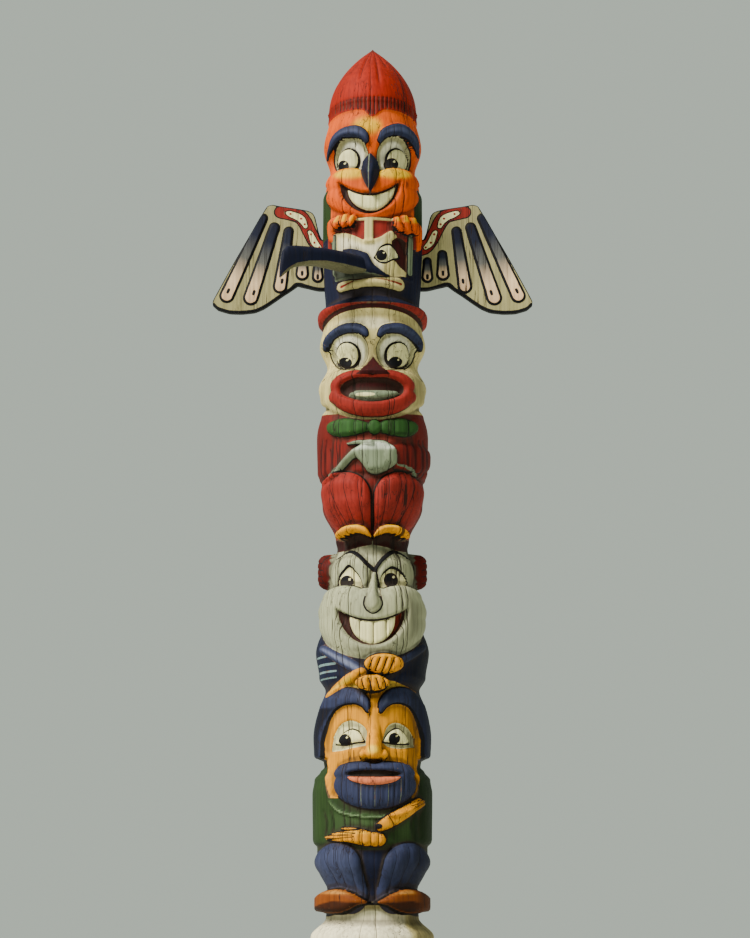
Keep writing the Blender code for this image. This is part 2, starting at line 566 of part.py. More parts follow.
# Where the wings and the beak sit, as heights on the drawn pole
WING_MIDDLE = 5.258          # middle of the wings' roots
BEAK_MIDDLE = 5.1575         # middle of the beak's housed end
BEAK_ASIDE = 0.057           # the beak's inner end lies this far to the viewer's right of the axis
BEAK_AHEAD = 0.188           # and this far in front of it
BURIED = 0.05                # extra length below the ground, sawn off again for a flat underside


def girth():
    """The log's thickness against the drawn one."""
    return POLE_DIAMETER / 0.70


def height_on_pole(drawn):
    return drawn * POLE_HEIGHT / DRAWN_HEIGHT


def clear_scene():
    for obj in list(bpy.data.objects):
        bpy.data.objects.remove(obj)


def new_collection(name):
    collection = bpy.data.collections.new(name)
    bpy.context.scene.collection.children.link(collection)
    return collection


def new_object(name, mesh, collection):
    obj = bpy.data.objects.new(name, mesh)
    collection.objects.link(obj)
    return obj


def evaluated_mesh(obj):
    graph = bpy.context.evaluated_depsgraph_get()
    return bpy.data.meshes.new_from_object(obj.evaluated_get(graph))


def guide(obj):
    obj.hide_render = True
    obj.display_type = "WIRE"


def painted(obj, colour, roughness):
    material = bpy.data.materials.new(obj.name + "_paint")
    material.use_nodes = True
    shader = material.node_tree.nodes["Principled BSDF"]
    shader.inputs["Base Color"].default_value = (*colour, 1)
    shader.inputs["Roughness"].default_value = roughness
    obj.data.materials.clear()
    obj.data.materials.append(material)


def rolled_grid(name, columns, rows, place, collection):
    """A grid rolled into a tube and closed at both ends: place(u, v) gives its points, u round, v along."""
    skin = bmesh.new()
    bmesh.ops.create_grid(skin, x_segments=columns, y_segments=rows, size=0.5)
    flat = np.array([vert.co for vert in skin.verts])
    for vert, point in zip(skin.verts, place(flat[:, 0] + 0.5, flat[:, 1] + 0.5)):
        vert.co = point
    bmesh.ops.remove_doubles(skin, verts=skin.verts, dist=0.00001)
    bmesh.ops.holes_fill(skin, edges=skin.edges, sides=0)
    bmesh.ops.triangulate(skin, faces=skin.faces)
    bmesh.ops.recalc_face_normals(skin, faces=skin.faces)
    mesh = bpy.data.meshes.new(name)
    skin.to_mesh(mesh)
    skin.free()
    return new_object(name, mesh, collection)


def log_skin(u, v):
    """Points of the log; its columns crowd together at the front, where the carving is."""
    turn = (u - 0.5) * 2 * pi
    turn = turn - 0.48 * np.sin(turn)
    z = v * (POLE_HEIGHT + BURIED) - BURIED
    r = carved(turn, np.maximum(z, 0) * DRAWN_HEIGHT / POLE_HEIGHT).r * girth()
    return np.stack([r * np.sin(turn), -r * np.cos(turn), z], axis=1)


def thin_out(obj, triangles):
    modifier = obj.modifiers.new("thin_out", "DECIMATE")
    modifier.ratio = triangles / len(obj.data.polygons)
    obj.data = evaluated_mesh(obj)
    obj.modifiers.clear()


def saw_flat(mesh, height):
    """Saws the mesh off flat at this height, keeps what is above and closes it."""
    log = bmesh.new()
    log.from_mesh(mesh)
    everything = log.verts[:] + log.edges[:] + log.faces[:]
    cut = bmesh.ops.bisect_plane(log, geom=everything, plane_co=(0, 0, height), plane_no=(0, 0, 1),
                                 clear_inner=True)
    rim = [part for part in cut["geom_cut"] if isinstance(part, bmesh.types.BMEdge)]
    bmesh.ops.holes_fill(log, edges=rim, sides=0)
    bmesh.ops.triangulate(log, faces=[face for face in log.faces if len(face.verts) > 3])
    bmesh.ops.recalc_face_normals(log, faces=log.faces)
    log.to_mesh(mesh)
    log.free()


def boolean(obj, operation, other):
    modifier = obj.modifiers.new(operation.lower(), "BOOLEAN")
    modifier.operation = operation
    modifier.object = other
    modifier.solver = "EXACT"


def board(name, outline, thickness, y, collection):
    """A flat board cut to an outline in x and z, with its middle at this y."""
    curve = bpy.data.curves.new(name, "CURVE")
    curve.dimensions = "2D"
    curve.fill_mode = "BOTH"
    curve.extrude = thickness / 2
    spline = curve.splines.new("POLY")
    spline.points.add(len(outline) - 1)
    spline.use_cyclic_u = True
    for point, (x, z) in zip(spline.points, outline):
        point.co = (x, z, 0, 1)
    pattern = new_object(name, curve, collection)
    mesh = evaluated_mesh(pattern)
    bpy.data.objects.remove(pattern)
    mesh.transform(Matrix.Translation((0, y, 0)) @ Matrix.Rotation(pi / 2, 4, "X"))
    sawn = bmesh.new()
    sawn.from_mesh(mesh)
    bmesh.ops.remove_doubles(sawn, verts=sawn.verts, dist=0.00001)
    bmesh.ops.recalc_face_normals(sawn, faces=sawn.faces)
    sawn.to_mesh(mesh)
    sawn.free()
    return new_object(name, mesh, collection)


# The right wing beyond its root, drawn from the top of the root round the tip and back, as distances
# out from the log's side and heights above the root's middle, in shares of the wing's own reach
WING_OUTLINE = [
    (.076, .302), (.138, .486), (.183, .518), (.400, .567), (.467, .579), (.514, .567), (.539, .530),
    (.783, .082),
    (1.00, -.345), (1.00, -.381), (.951, -.424), (.846, -.455), (.734, -.460), (.616, -.446),
    (.537, -.411), (.455, -.356), (.377, -.298), (.288, -.237), (.232, -.192), (.135, -.216),
]
# Each feather's upper end, lower end and half width, on the same scale
FEATHERS = [
    ((.542, .451), (.886, -.340), .042),
    ((.446, .356), (.664, -.364), .052),
    ((.322, .302), (.394, -.237), .052),
    ((.187, .098), (.190, -.114), .052),
]


def wing_reach():
    return WING_SPAN / 2 - wing_foot()


def wing_foot():
    """How far from the axis the wings leave the log."""
    return 0.328 * girth()


def feather_outline(upper, lower, half, corners=14):
    """A drop shape, fuller towards its lower end."""
    (ax, az), (bx, bz) = upper, lower
    length = np.hypot(bx - ax, bz - az)
    dx, dz = (bx - ax) / length, (bz - az) / length
    outline = []
    for corner in range(corners):
        turn = 2 * pi * corner / corners
        along = length / 2 * (1 - cos(turn))
        across = half * (0.62 + 0.38 * along / length) * np.copysign(abs(sin(turn)) ** 0.55, sin(turn))
        outline.append((ax + dx * along - dz * across, az + dz * along + dx * across))
    return outline


def on_wing(points, side):
    middle = height_on_pole(WING_MIDDLE)
    return [(side * (wing_foot() + x * wing_reach()), middle + z * wing_reach()) for x, z in points]


def wing(name, side, parts, cutters):
    """A board wing: its root, the outline beyond it and raised feathers on the front."""
    inner = wing_foot() - WING_HOUSING
    middle = height_on_pole(WING_MIDDLE)
    low, high = middle - WING_ROOT_HEIGHT / 2, middle + WING_ROOT_HEIGHT / 2
    shoulder = wing_foot() + 0.04 * wing_reach()
    root = [(side * inner, low), (side * inner, high)]
    outline = root + [(side * shoulder, high)] + on_wing(WING_OUTLINE, side) + [(side * shoulder, low)]
    piece = board(name, outline, WING_THICKNESS, 0, parts)
    for number, (upper, lower, half) in enumerate(FEATHERS):
        outline = on_wing(feather_outline(upper, lower, half), side)
        thickness = WING_THICKNESS / 2 + FEATHER_RELIEF
        feather = board(f"{name}_feather_{number}", outline, thickness, -thickness / 2, cutters)
        guide(feather)
        boolean(piece, "UNION", feather)
    return piece


def wing_mortise(name, side, cutters):
    """The slot in the log that houses a wing's root."""
    deep = wing_foot() - WING_HOUSING - CLEARANCE
    out = WING_SPAN / 2
    bpy.ops.mesh.primitive_cube_add(size=1, location=(side * (deep + out) / 2, 0,
                                                      height_on_pole(WING_MIDDLE)))
    slot = bpy.context.object
    slot.name = name
    slot.scale = (out - deep, WING_THICKNESS + 2 * CLEARANCE, WING_ROOT_HEIGHT + 2 * CLEARANCE)
    for collection in slot.users_collection:
        collection.objects.unlink(slot)
    cutters.objects.link(slot)
    guide(slot)
    return slot


# The beak along its length, in shares of it: upper edge and lower edge as heights above the middle of
# its housed end, and its width, all in shares of the length but the last, which is a share of BEAK_WIDTH
BEAK_STATIONS = [
    (0.00, .072, -.072, 1.00),
    (0.43, .072, -.072, 1.00),
    (0.61, .062, -.077, 0.88),
    (0.76, .045, -.107, 0.72),
    (0.87, .031, -.146, 0.52),
    (0.94, .010, -.202, 0.36),
    (0.975, -.035, -.238, 0.24),
    (0.992, -.121, -.254, 0.16),
    (1.00, -.220, -.257, 0.10),
]


def beak_skin(clearance):
    """Points of the beak, or with a clearance those of the socket that houses it."""
    stations, uppers, lowers, widths = np.array(BEAK_STATIONS).T

    def place(u, v):
        along = 1 - (1 - v) ** 1.6
        upper = np.interp(along, stations, uppers) * BEAK_LENGTH + clearance
        lower = np.interp(along, stations, lowers) * BEAK_LENGTH - clearance
        half = np.interp(along, stations, widths) * BEAK_WIDTH / 2 + clearance
        turn = u * 2 * pi
        across = half * np.copysign(np.abs(np.cos(turn)) ** 0.75, np.cos(turn))
        round_top = np.where(np.sin(turn) > 0, 0.9, 0.35)
        z = (upper + lower) / 2 + (upper - lower) / 2 * np.copysign(np.abs(np.sin(turn)) ** round_top,
                                                                    np.sin(turn))
        out = along * BEAK_LENGTH - clearance
        x = BEAK_ASIDE * girth() - out * sin(BEAK_YAW) + across * cos(BEAK_YAW)
        y = -BEAK_AHEAD * girth() - out * cos(BEAK_YAW) - across * sin(BEAK_YAW)
        return np.stack([x, y, z + height_on_pole(BEAK_MIDDLE)], axis=1)

    return place


def main():
    clear_scene()
    parts = new_collection("totem_pole")
    cutters = new_collection("cutters")
    pole = rolled_grid("pole", COLUMNS, ROWS, log_skin, parts)
    thin_out(pole, POLE_TRIANGLES)
    saw_flat(pole.data, 0.0)
    for side, name in ((-1, "wing_left"), (1, "wing_right")):
        piece = wing(name, side, parts, cutters)
        painted(piece, (0.62, 0.52, 0.34), 0.7)
        boolean(pole, "DIFFERENCE", wing_mortise(name + "_mortise", side, cutters))
    beak = rolled_grid("beak", 16, 16, beak_skin(0), parts)
    painted(beak, (0.02, 0.03, 0.07), 0.6)
    socket = rolled_grid("beak_socket", 16, 16, beak_skin(CLEARANCE), cutters)
    guide(socket)
    boolean(pole, "DIFFERENCE", socket)
    painted(pole, (0.48, 0.30, 0.16), 0.8)


main()
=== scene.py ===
# %% [markdown]
# A carved and painted totem pole, 6.8 m tall
#
# The object is one cedar log, carved all down its front with stacked heads and seated figures, two
# board wings set in slots in its sides, and a long beak housed in the bird's face. The construction
# model gives the true sizes. This scene makes the surfaces that people look at: the carving at full
# fineness, the paint laid inside carved outlines, and the cracks and wear of an outdoor pole.

# %% Load the frame and keep its sizes
from math import cos, pi, radians, sin

import bpy
import numpy as np
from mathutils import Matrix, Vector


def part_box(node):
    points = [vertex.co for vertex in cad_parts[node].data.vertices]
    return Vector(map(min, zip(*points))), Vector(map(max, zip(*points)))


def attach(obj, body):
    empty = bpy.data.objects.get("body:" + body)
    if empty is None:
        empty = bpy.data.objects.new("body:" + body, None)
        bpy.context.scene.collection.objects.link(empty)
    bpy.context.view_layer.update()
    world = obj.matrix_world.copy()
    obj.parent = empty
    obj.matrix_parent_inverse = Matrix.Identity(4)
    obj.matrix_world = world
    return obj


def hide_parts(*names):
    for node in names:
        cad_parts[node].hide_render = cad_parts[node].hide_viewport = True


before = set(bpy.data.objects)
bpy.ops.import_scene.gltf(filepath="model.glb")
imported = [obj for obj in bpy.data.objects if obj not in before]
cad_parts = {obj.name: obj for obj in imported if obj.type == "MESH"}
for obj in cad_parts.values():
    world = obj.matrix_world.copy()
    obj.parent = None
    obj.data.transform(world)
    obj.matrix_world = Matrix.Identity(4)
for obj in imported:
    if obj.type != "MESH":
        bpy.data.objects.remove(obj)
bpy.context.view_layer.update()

pole_low, pole_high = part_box("pole")
POLE_HEIGHT = pole_high[2] - pole_low[2]
WING_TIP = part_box("wing_right")[1][0]
print("pole height", round(POLE_HEIGHT, 3), "wing tip at", round(WING_TIP, 3))

# %% [markdown]
# The camera
#
# The rows of carving bow upwards at the top of the picture and downwards at the bottom, as they do when
# a person stands about 12 m from a tall pole and looks up. A long lens from there frames it closely.

# %% Camera
CAMERA_PLACE = (0.016, -12.0, 1.2)
CAMERA_PITCH = radians(12.58)        # upwards from level
CAMERA_LENS = 72.9                   # mm
SENSOR_WIDTH = 36                    # mm

camera_data = bpy.data.cameras.new("camera")
camera_data.lens = CAMERA_LENS
camera_data.sensor_width = SENSOR_WIDTH
camera_data.clip_end = 200
camera = bpy.data.objects.new("camera", camera_data)
camera.location = CAMERA_PLACE
camera.rotation_euler = (pi / 2 + CAMERA_PITCH, 0, 0)
bpy.context.scene.collection.objects.link(camera)
bpy.context.scene.camera = camera

# %% [markdown]
# Drawing on a log
#
# A carver draws outlines on the log first and then cuts down inside or around them. Here an outline is
# a signed distance: a whole array that is negative inside the shape, zero on its edge and positive
# outside. Ovals, bands and tapering strokes are enough for every face, hand and feather, and shapes
# combine with minimum (both) and maximum (only where they overlap).

# %% Outlines
def ease(t):
    """0 up to 0 and 1 from 1 on, with a soft start and end between them."""
    t = np.clip(t, 0, 1)
    return t * t * (3 - 2 * t)


def bulge(t):
    """A quarter round: rises steeply from 0 and is level at 1."""
    t = np.clip(t, 0, 1)
    return np.sqrt(t * (2 - t))


def oval(x, z, cx, cz, rx, rz):
    """Distance to an oval's outline, negative inside."""
    u, v = (x - cx) / rx, (z - cz) / rz
    k = np.hypot(u, v)
    return k * (k - 1) / np.maximum(np.hypot(u / rx, v / rz), 1e-6)


def band(z, low, high):
    """Distance to a level strip between two heights, negative inside."""
    return np.maximum(low - z, z - high)


def ribs(along, spacing):
    """Distance to the nearest of many evenly spaced lines."""
    return np.abs((along / spacing) % 1 - .5) * spacing


def smooth_path(points, count):
    """Catmull-Rom through rows of (x, z, half width)."""
    p = np.array(points, float)
    p = np.vstack([2 * p[0] - p[1], p, 2 * p[-1] - p[-2]])
    t = np.linspace(0, len(points) - 1, count)
    i = np.minimum(t.astype(int), len(points) - 2)
    f = (t - i)[:, None]
    a, b, c, d = p[i], p[i + 1], p[i + 2], p[i + 3]
    return 0.5 * (2 * b + (c - a) * f + (2 * a - 5 * b + 4 * c - d) * f**2
                  + (3 * b - a - 3 * c + d) * f**3)


def stroke(x, z, points, count=12):
    """Distance to a tapering stroke through rows of (x, z, half width), negative inside."""
    path = smooth_path(points, count) if len(points) > 2 else np.array(points, float)
    nearest = np.full(np.shape(x), 9.0)
    for (ax, az, aw), (bx, bz, bw) in zip(path[:-1], path[1:]):
        dx, dz = bx - ax, bz - az
        t = np.clip(((x - ax) * dx + (z - az) * dz) / (dx * dx + dz * dz), 0, 1)
        nearest = np.minimum(nearest, np.hypot(x - ax - t * dx, z - az - t * dz) - aw - t * (bw - aw))
    return nearest


def smile(x, z, cx, corner, low, half, sag):
    """A grin: the lower part of an oval under an upper lip that sags between its corners."""
    u = (x - cx) / half
    return np.maximum(oval(x, z, cx, corner, half, corner - low), z - (corner - sag * (1 - u * u)))


def between(x, z, upper, lower):
    """Distance to a field between an upper and a lower edge, each a curve through rows of (x, z)."""
    top, foot = smooth_path(upper, 40), smooth_path(lower, 40)
    over = z - np.interp(x, top[:, 0], top[:, 1])
    under = np.interp(x, foot[:, 0], foot[:, 1]) - z
    return np.maximum(np.maximum(over, under), np.maximum(upper[0][0] - x, x - upper[-1][0]))

# %% [markdown]
# The log's skin
#
# The log is a function of two parameters: at each turn round the axis and each height it gives the
# distance from the axis. The bare log already swells and narrows for each head. A Painted object
# keeps the painter's signed distances, one for each colour, and a Log adds the carved distance at
# every point of the grid. Painting a colour takes its shape away from all the others.

# %% The bare log
# The carving is drawn on a pole of this height; heights and half widths below are metres on that pole
DRAWN_HEIGHT = 6.80

# Outline of the bare log under its carving: height, half width
PROFILE = [
    # The foot and the lowest head
    (0.00, 0.425), (0.20, 0.420), (0.235, 0.385), (0.30, 0.385), (0.46, 0.428), (0.60, 0.380),
    (0.80, 0.425), (0.940, 0.378),
    # The bearded figure, from its shoes to its hair
    (1.05, 0.286), (1.12, 0.278), (1.21, 0.278), (1.40, 0.342), (1.475, 0.342), (1.50, 0.358),
    (1.80, 0.362), (1.885, 0.350), (1.935, 0.325), (1.965, 0.300), (2.00, 0.305), (2.02, 0.340),
    (2.155, 0.345), (2.324, 0.332), (2.44, 0.296),
    # The grinning head and its shoulders
    (2.52, 0.330), (2.68, 0.352), (2.82, 0.322), (2.94, 0.345), (3.09, 0.279), (3.20, 0.276),
    (3.345, 0.225),
    # The red-coated figure, from its feet to its hat band
    (3.40, 0.235), (3.62, 0.322), (3.715, 0.334), (3.775, 0.326), (3.80, 0.342), (4.07, 0.348),
    (4.21, 0.334), (4.265, 0.303), (4.40, 0.351), (4.542, 0.295), (4.69, 0.346), (4.822, 0.322),
    (4.85, 0.332), (4.90, 0.340), (4.938, 0.308),
    # The bird and the watchman, up to the hood
    (5.16, 0.322), (5.37, 0.330), (5.71, 0.330), (5.765, 0.312), (5.897, 0.283), (6.075, 0.327),
    (6.30, 0.286), (6.32, 0.292),
]
# The edge between the lowest head's dome and the shoes above it: x, height
DOME_TOP = [(0, 1.165), (0.05, 1.160), (0.12, 1.138), (0.20, 1.100), (0.28, 1.070), (0.36, 1.050)]
HOOD_LOW = 6.32
HOOD_HALF_WIDTH = 0.295
HOOD_TIP = 0.004             # half width of its blunt tip
CARVED_HALF_WIDTHS = (0.290, 0.350)  # nearest and farthest from the axis that outlines are drawn
STANDS_PROUD = 0.03          # most of the carving, of the bare log
FAR = 0.06                   # beyond this a distance to an outline no longer matters
COLOURS = ["cream", "white", "hood", "orange", "ochre", "red", "maroon", "navy", "blue", "green", "bow",
           "black", "grey", "salmon", "pale", "stone", "leather", "wood", "board", "plume", "olive"]


def half_width(z):
    """Half the log's width at a height, eased between the knots of PROFILE; the hood is a turned cone."""
    heights, widths = np.array(PROFILE).T
    i = np.clip(np.searchsorted(heights, z) - 1, 0, len(heights) - 2)
    log = widths[i] + (widths[i + 1] - widths[i]) * ease((z - heights[i]) / (heights[i + 1] - heights[i]))
    t = (DRAWN_HEIGHT - z) / (DRAWN_HEIGHT - HOOD_LOW)
    return np.where(z > HOOD_LOW, np.maximum(HOOD_HALF_WIDTH * t * (2 - t), HOOD_TIP), log)


def true_height(z):
    """The height on the real pole of a height on the drawn one."""
    return z * POLE_HEIGHT / DRAWN_HEIGHT

# %% What the painter adds
class Painted:
    """The painter's signed distances on a grid, one for each colour, and beside them lines and painted
    light and tone.
    """

    def __init__(self, shape):
        self.area = {colour: np.full(shape, FAR) for colour in COLOURS}
        self.rim_aside = np.full(shape, FAR)
        self.rim_width = np.zeros(shape)
        self.light_and_tone = np.zeros(shape)

    def paint(self, colour, sd):
        """Gives a shape to one colour, and takes it away from the others and from older lines."""
        for name, area in self.area.items():
            self.area[name] = np.minimum(area, sd) if name == colour else np.maximum(area, -sd)
        self.light_and_tone = self.light_and_tone * ease(0.5 + sd / 0.01)
        covered = sd < -0.005
        self.rim_aside = np.where(covered, np.copysign(FAR, self.rim_aside), self.rim_aside)
        self.rim_width = np.where(covered, 0, self.rim_width)

    def paint_light_and_tone(self, sd, amount, soft):
        """A soft-edged patch inside a shape, lighter for a positive amount and darker for a negative one:
        mostly painted highlights and painted shade, in a few places only a tone of the paint.
        """
        self.light_and_tone = self.light_and_tone + (amount - self.light_and_tone) * ease(-sd / soft)

    def line(self, sd, where=True, width=0.0045):
        """A black line along an outline, where asked; its width is kept only near it."""
        nearer = where & (np.abs(sd) < np.abs(self.rim_aside))
        self.rim_aside = np.where(nearer, sd, self.rim_aside)
        self.rim_width = np.where(nearer, np.where(np.abs(sd) < 0.014, width, 0), self.rim_width)

    def used(self):
        """The colours that show somewhere."""
        return [colour for colour, area in self.area.items() if area.min() < 0]

# %% The log that is carved and painted
class Log(Painted):
    """The log's skin: r is how far it stands from the axis at each turn (0 is the front) and height."""

    def __init__(self, turn, z):
        super().__init__(np.shape(z))
        self.turn, self.z = turn, z
        self.front = np.cos(turn)
        self.r = half_width(z)
        self.bare = self.r.copy()
        self.x = np.clip(self.r + STANDS_PROUD, *CARVED_HALF_WIDTHS) * np.sin(turn)
        self.side = np.abs(self.x)
        self.behind = -self.r * self.front
        self.crack_aside = np.full(np.shape(z), FAR)
        self.crack_width = np.zeros(np.shape(z))

    def tipped(self, slope):
        """Heights for a face that is tipped forward: outlines droop towards the front."""
        return self.z + slope * self.bare * np.maximum(self.front, 0)

    def turned_from(self, turn):
        """How far each point is turned from this one, the short way round."""
        return (self.turn - turn + pi) % (2 * pi) - pi

    def ahead(self, sd):
        """Only the part of a shape on the log's front half."""
        return np.maximum(sd, self.behind)

    def step(self, sd, height, edge=0.012):
        """Raises a whole shape, or sinks it where the height is negative, with a sloping edge."""
        self.r = self.r + height * ease(0.5 - sd / edge)

    def dome(self, sd, height, reach):
        """Adds a rounded swelling to what is there."""
        self.r = self.r + height * bulge(-sd / reach)

    def raise_to(self, sd, distance):
        """Leaves the wood inside a shape at least this far from the axis."""
        self.r = np.where(sd < 0, np.maximum(self.r, distance), self.r)

    def boss(self, sd, foot, height, reach):
        """A rounded swelling that starts at the distance foot from the axis, whatever lies under it."""
        self.raise_to(sd, foot + height * bulge(-sd / reach))

    def level(self, sd, distance, edge):
        """A flat area at one distance from the axis, with a sloping edge inside its outline."""
        self.r = self.r + (distance - self.r) * ease(-sd / edge)

    def groove(self, sd, depth, width, within=-1.0):
        """A groove along an outline, inside another shape."""
        self.r = self.r - depth * np.exp(-((sd / width) ** 2)) * ease(0.5 - within / 0.01)

    def cut(self, sd, depth, width, within, where, line_width=0.002):
        """A groove inside another shape, with a black line along its bottom where asked."""
        self.groove(sd, depth, width, within)
        self.line(sd, where, line_width)

# %% [markdown]
# The hidden lowest head
#
# The picture ends just under the dome of this head, so the rest is finished plainly, in keeping with
# the heads above it, down to a bare round foot.

# %% The lowest head
def pupils(log, z, left, right):
    """The two black pupils, each an oval given by its centre and radii, with a glint in each."""
    both = log.ahead(np.minimum(oval(log.x, z, *left), oval(log.x, z, *right)))
    log.paint("black", both)
    glints = [oval(log.x, z, cx + .38 * rx, cz + .42 * rz, .20 * rx, .20 * rz)
              for cx, cz, rx, rz in (left, right)]
    log.paint("white", log.ahead(np.minimum(*glints)))


def brows(log, z, left, right, height):
    """Two raised brows, each a stroke drawn for its own side."""
    brow = log.ahead(np.minimum(stroke(log.x, z, left, 16), stroke(log.x, z, right, 16)))
    log.step(brow, height, 0.025)
    log.paint("blue", brow)
    # Painted highlight along the middle of each brow
    log.paint_light_and_tone(brow + 0.006, 0.45, 0.03)
    log.line(brow, width=0.003)


def round_eyes(log, z, socket, ball):
    """Two hollowed sockets with eyeballs in them."""
    hollow = log.ahead(oval(log.side, z, *socket))
    log.step(hollow, -0.030, 0.03)
    log.paint("white", hollow)
    # Painted light: the hollowed sockets lighter, against the shade that falls in them
    log.paint_light_and_tone(hollow + .01, 0.9, 0.03)
    log.line(hollow, width=0.0025)
    globe = log.ahead(oval(log.side, z, *ball))
    log.dome(globe, 0.034, 0.06)
    log.paint("white", globe)
    log.line(globe, width=0.0085)


def row_of_teeth(log, teeth, gaps, depth, width):
    """Teeth raised inside a mouth, with an upright cut between each two."""
    log.step(teeth, 0.034, 0.02)
    log.paint("white", teeth)
    for gap in gaps:
        log.cut(log.x - gap, depth, width, teeth, teeth < -.004, 0.0018)


def elder(log):
    """The dome, the plain face and the bare foot of the lowest head."""
    x, z = log.x, log.z
    log.paint("cream", z - 1.20)
    # Painted highlight on the upper face and dome; painted shadow along the dome's top, under the shoes
    log.paint_light_and_tone(.85 - z, 0.9, 0.10)
    log.paint_light_and_tone(1.085 - z, -0.7, 0.06)
    round_eyes(log, z, (.175, .720, .150, .112), (.172, .706, .082, .072))
    pupils(log, z, (-.205, .692, .042, .038), (.140, .692, .042, .038))
    left = [(-.05, .820, .020), (-.12, .856, .028), (-.21, .846, .026), (-.30, .780, .012)]
    right = [(.05, .820, .020), (.12, .856, .028), (.21, .846, .026), (.30, .780, .012)]
    brows(log, z, left, right, 0.018)
    nose = log.ahead(stroke(x, z, [(.0, .84, .02), (.0, .72, .03), (.0, .625, .05)]))
    log.boss(nose, 0.405, 0.02 + 0.06 * ease((.84 - z) / .22), 0.035)
    log.line(nose, z < .68)
    lips = log.ahead(oval(x, z, 0, .455, .235, .085))
    log.dome(lips, 0.030, 0.04)
    log.paint("red", lips)
    log.line(lips)
    log.groove(z - .455, .024, .012, lips + .01)
    log.paint("wood", z - .222)

# %% [markdown]
# The bearded figure
#
# This head is cut back inside its hair: the brows and side hair are the log's full thickness, and the
# face is a level area behind them. The beard stands out again and its hairs are shallow flutes. The arms
# cross the coat, and the drawn-up knees are swellings that narrow to the shoes.

# %% The bearded head
def thinker(log):
    """Its face, set back inside the hair: eyes, brows and nose."""
    x, side, z = log.x, log.side, log.tipped(0.06)
    log.paint("ochre", log.ahead(np.maximum(band(z, 2.30, 2.56), side - .345)))
    # Painted highlight on the dome above the brows, all but its middle strip
    log.paint_light_and_tone(log.ahead(np.maximum(band(z, 2.40, 2.56), .05 - side)), 0.8, 0.05)
    jaw = log.ahead(np.maximum(band(z, 1.78, 2.40), side - np.minimum(.265 + .30 * (z - 1.83), .315)))
    crown = np.maximum(band(log.z, 2.000, 2.43), np.where(log.front > 0, .300 - side, -FAR))
    log.paint("blue", crown)
    log.level(jaw, 0.322, 0.03)
    log.paint("ochre", jaw)
    # Painted shade: the face darker on the right
    log.paint_light_and_tone(np.maximum(jaw, .20 - x), -0.2, 0.08)
    surround = np.minimum(between(x, z, [(-.276, 2.070), (-.264, 2.150), (-.217, 2.224), (-.142, 2.251),
                                         (-.057, 2.214), (-.026, 2.151), (-.028, 2.112)],
                                         [(-.276, 2.060), (-.200, 2.069), (-.140, 2.083), (-.060, 2.095),
                                          (-.028, 2.106)]),
                          between(x, z, [(.068, 2.130), (.102, 2.212), (.165, 2.237), (.240, 2.204),
                                         (.280, 2.143), (.286, 2.096)],
                                         [(.068, 2.118), (.106, 2.090), (.190, 2.079), (.286, 2.088)]))
    surround = log.ahead(surround)
    log.step(surround, -0.014, 0.02)
    log.paint("white", surround)
    # Painted shade: the surrounds darker in their upper part, under the brows
    log.paint_light_and_tone(np.maximum(surround, 2.20 - z), -0.5, 0.02)
    eye = np.minimum(between(x, z, [(-.254, 2.108), (-.206, 2.168), (-.142, 2.199), (-.089, 2.182),
                                    (-.062, 2.138), (-.050, 2.122)],
                                    [(-.254, 2.104), (-.180, 2.101), (-.110, 2.115), (-.050, 2.119)]),
                     between(x, z, [(.068, 2.122), (.112, 2.178), (.167, 2.204), (.220, 2.174),
                                    (.254, 2.112)],
                                    [(.068, 2.118), (.120, 2.112), (.173, 2.105), (.254, 2.108)]))
    eye = log.ahead(eye)
    log.dome(eye, 0.020, 0.04)
    log.paint("white", eye)
    pupils(log, z, (-.183, 2.132, .041, .037), (.145, 2.140, .037, .036))
    log.line(eye, width=0.005)
    left = stroke(x, z, [(-.030, 2.315, .018), (-.052, 2.362, .034), (-.108, 2.396, .046),
                         (-.190, 2.398, .054), (-.262, 2.362, .052), (-.312, 2.270, .036),
                         (-.332, 2.150, .028), (-.334, 2.040, .026)], 20)
    right = stroke(x, z, [(.054, 2.312, .018), (.075, 2.358, .034), (.130, 2.398, .046),
                          (.205, 2.402, .052), (.268, 2.368, .048), (.314, 2.280, .034),
                          (.332, 2.150, .026), (.334, 2.040, .024)], 20)
    brow = log.ahead(np.minimum(left, right))
    log.step(brow, 0.026, 0.025)
    log.paint("blue", brow)
    # The side hair a darker blue than the brows, and a painted highlight on the brows' inner ends
    log.paint_light_and_tone(np.maximum(brow, z - 2.34), -0.75, 0.02)
    log.paint_light_and_tone(np.maximum(brow, side - .12), 0.5, 0.04)
    log.line(brow, width=0.005)
    nose = log.ahead(stroke(x, z, [(.008, 2.30, .034), (.008, 2.20, .042), (.007, 2.10, .050),
                                   (.007, 2.054, .054)]))
    log.boss(nose, 0.318, 0.012 + 0.085 * ease((2.26 - z) / .20), 0.050)
    wings = log.ahead(oval(np.abs(x - .007), z, .062, 2.043, .030, .032))
    log.boss(wings, 0.325, 0.060, 0.03)
    log.paint("ochre", wings)
    log.line(wings, (z < 2.06) & (np.abs(x - .007) > .068))
    log.paint("ochre", nose)
    # Painted highlight on the ball of the nose, and painted shadow under the nose
    log.paint_light_and_tone(log.ahead(oval(x, z, .002, 2.070, .050, .045)), 0.8, 0.035)
    log.paint_light_and_tone(log.ahead(oval(x, z, .008, 2.002, .070, .022)), -0.9, 0.015)

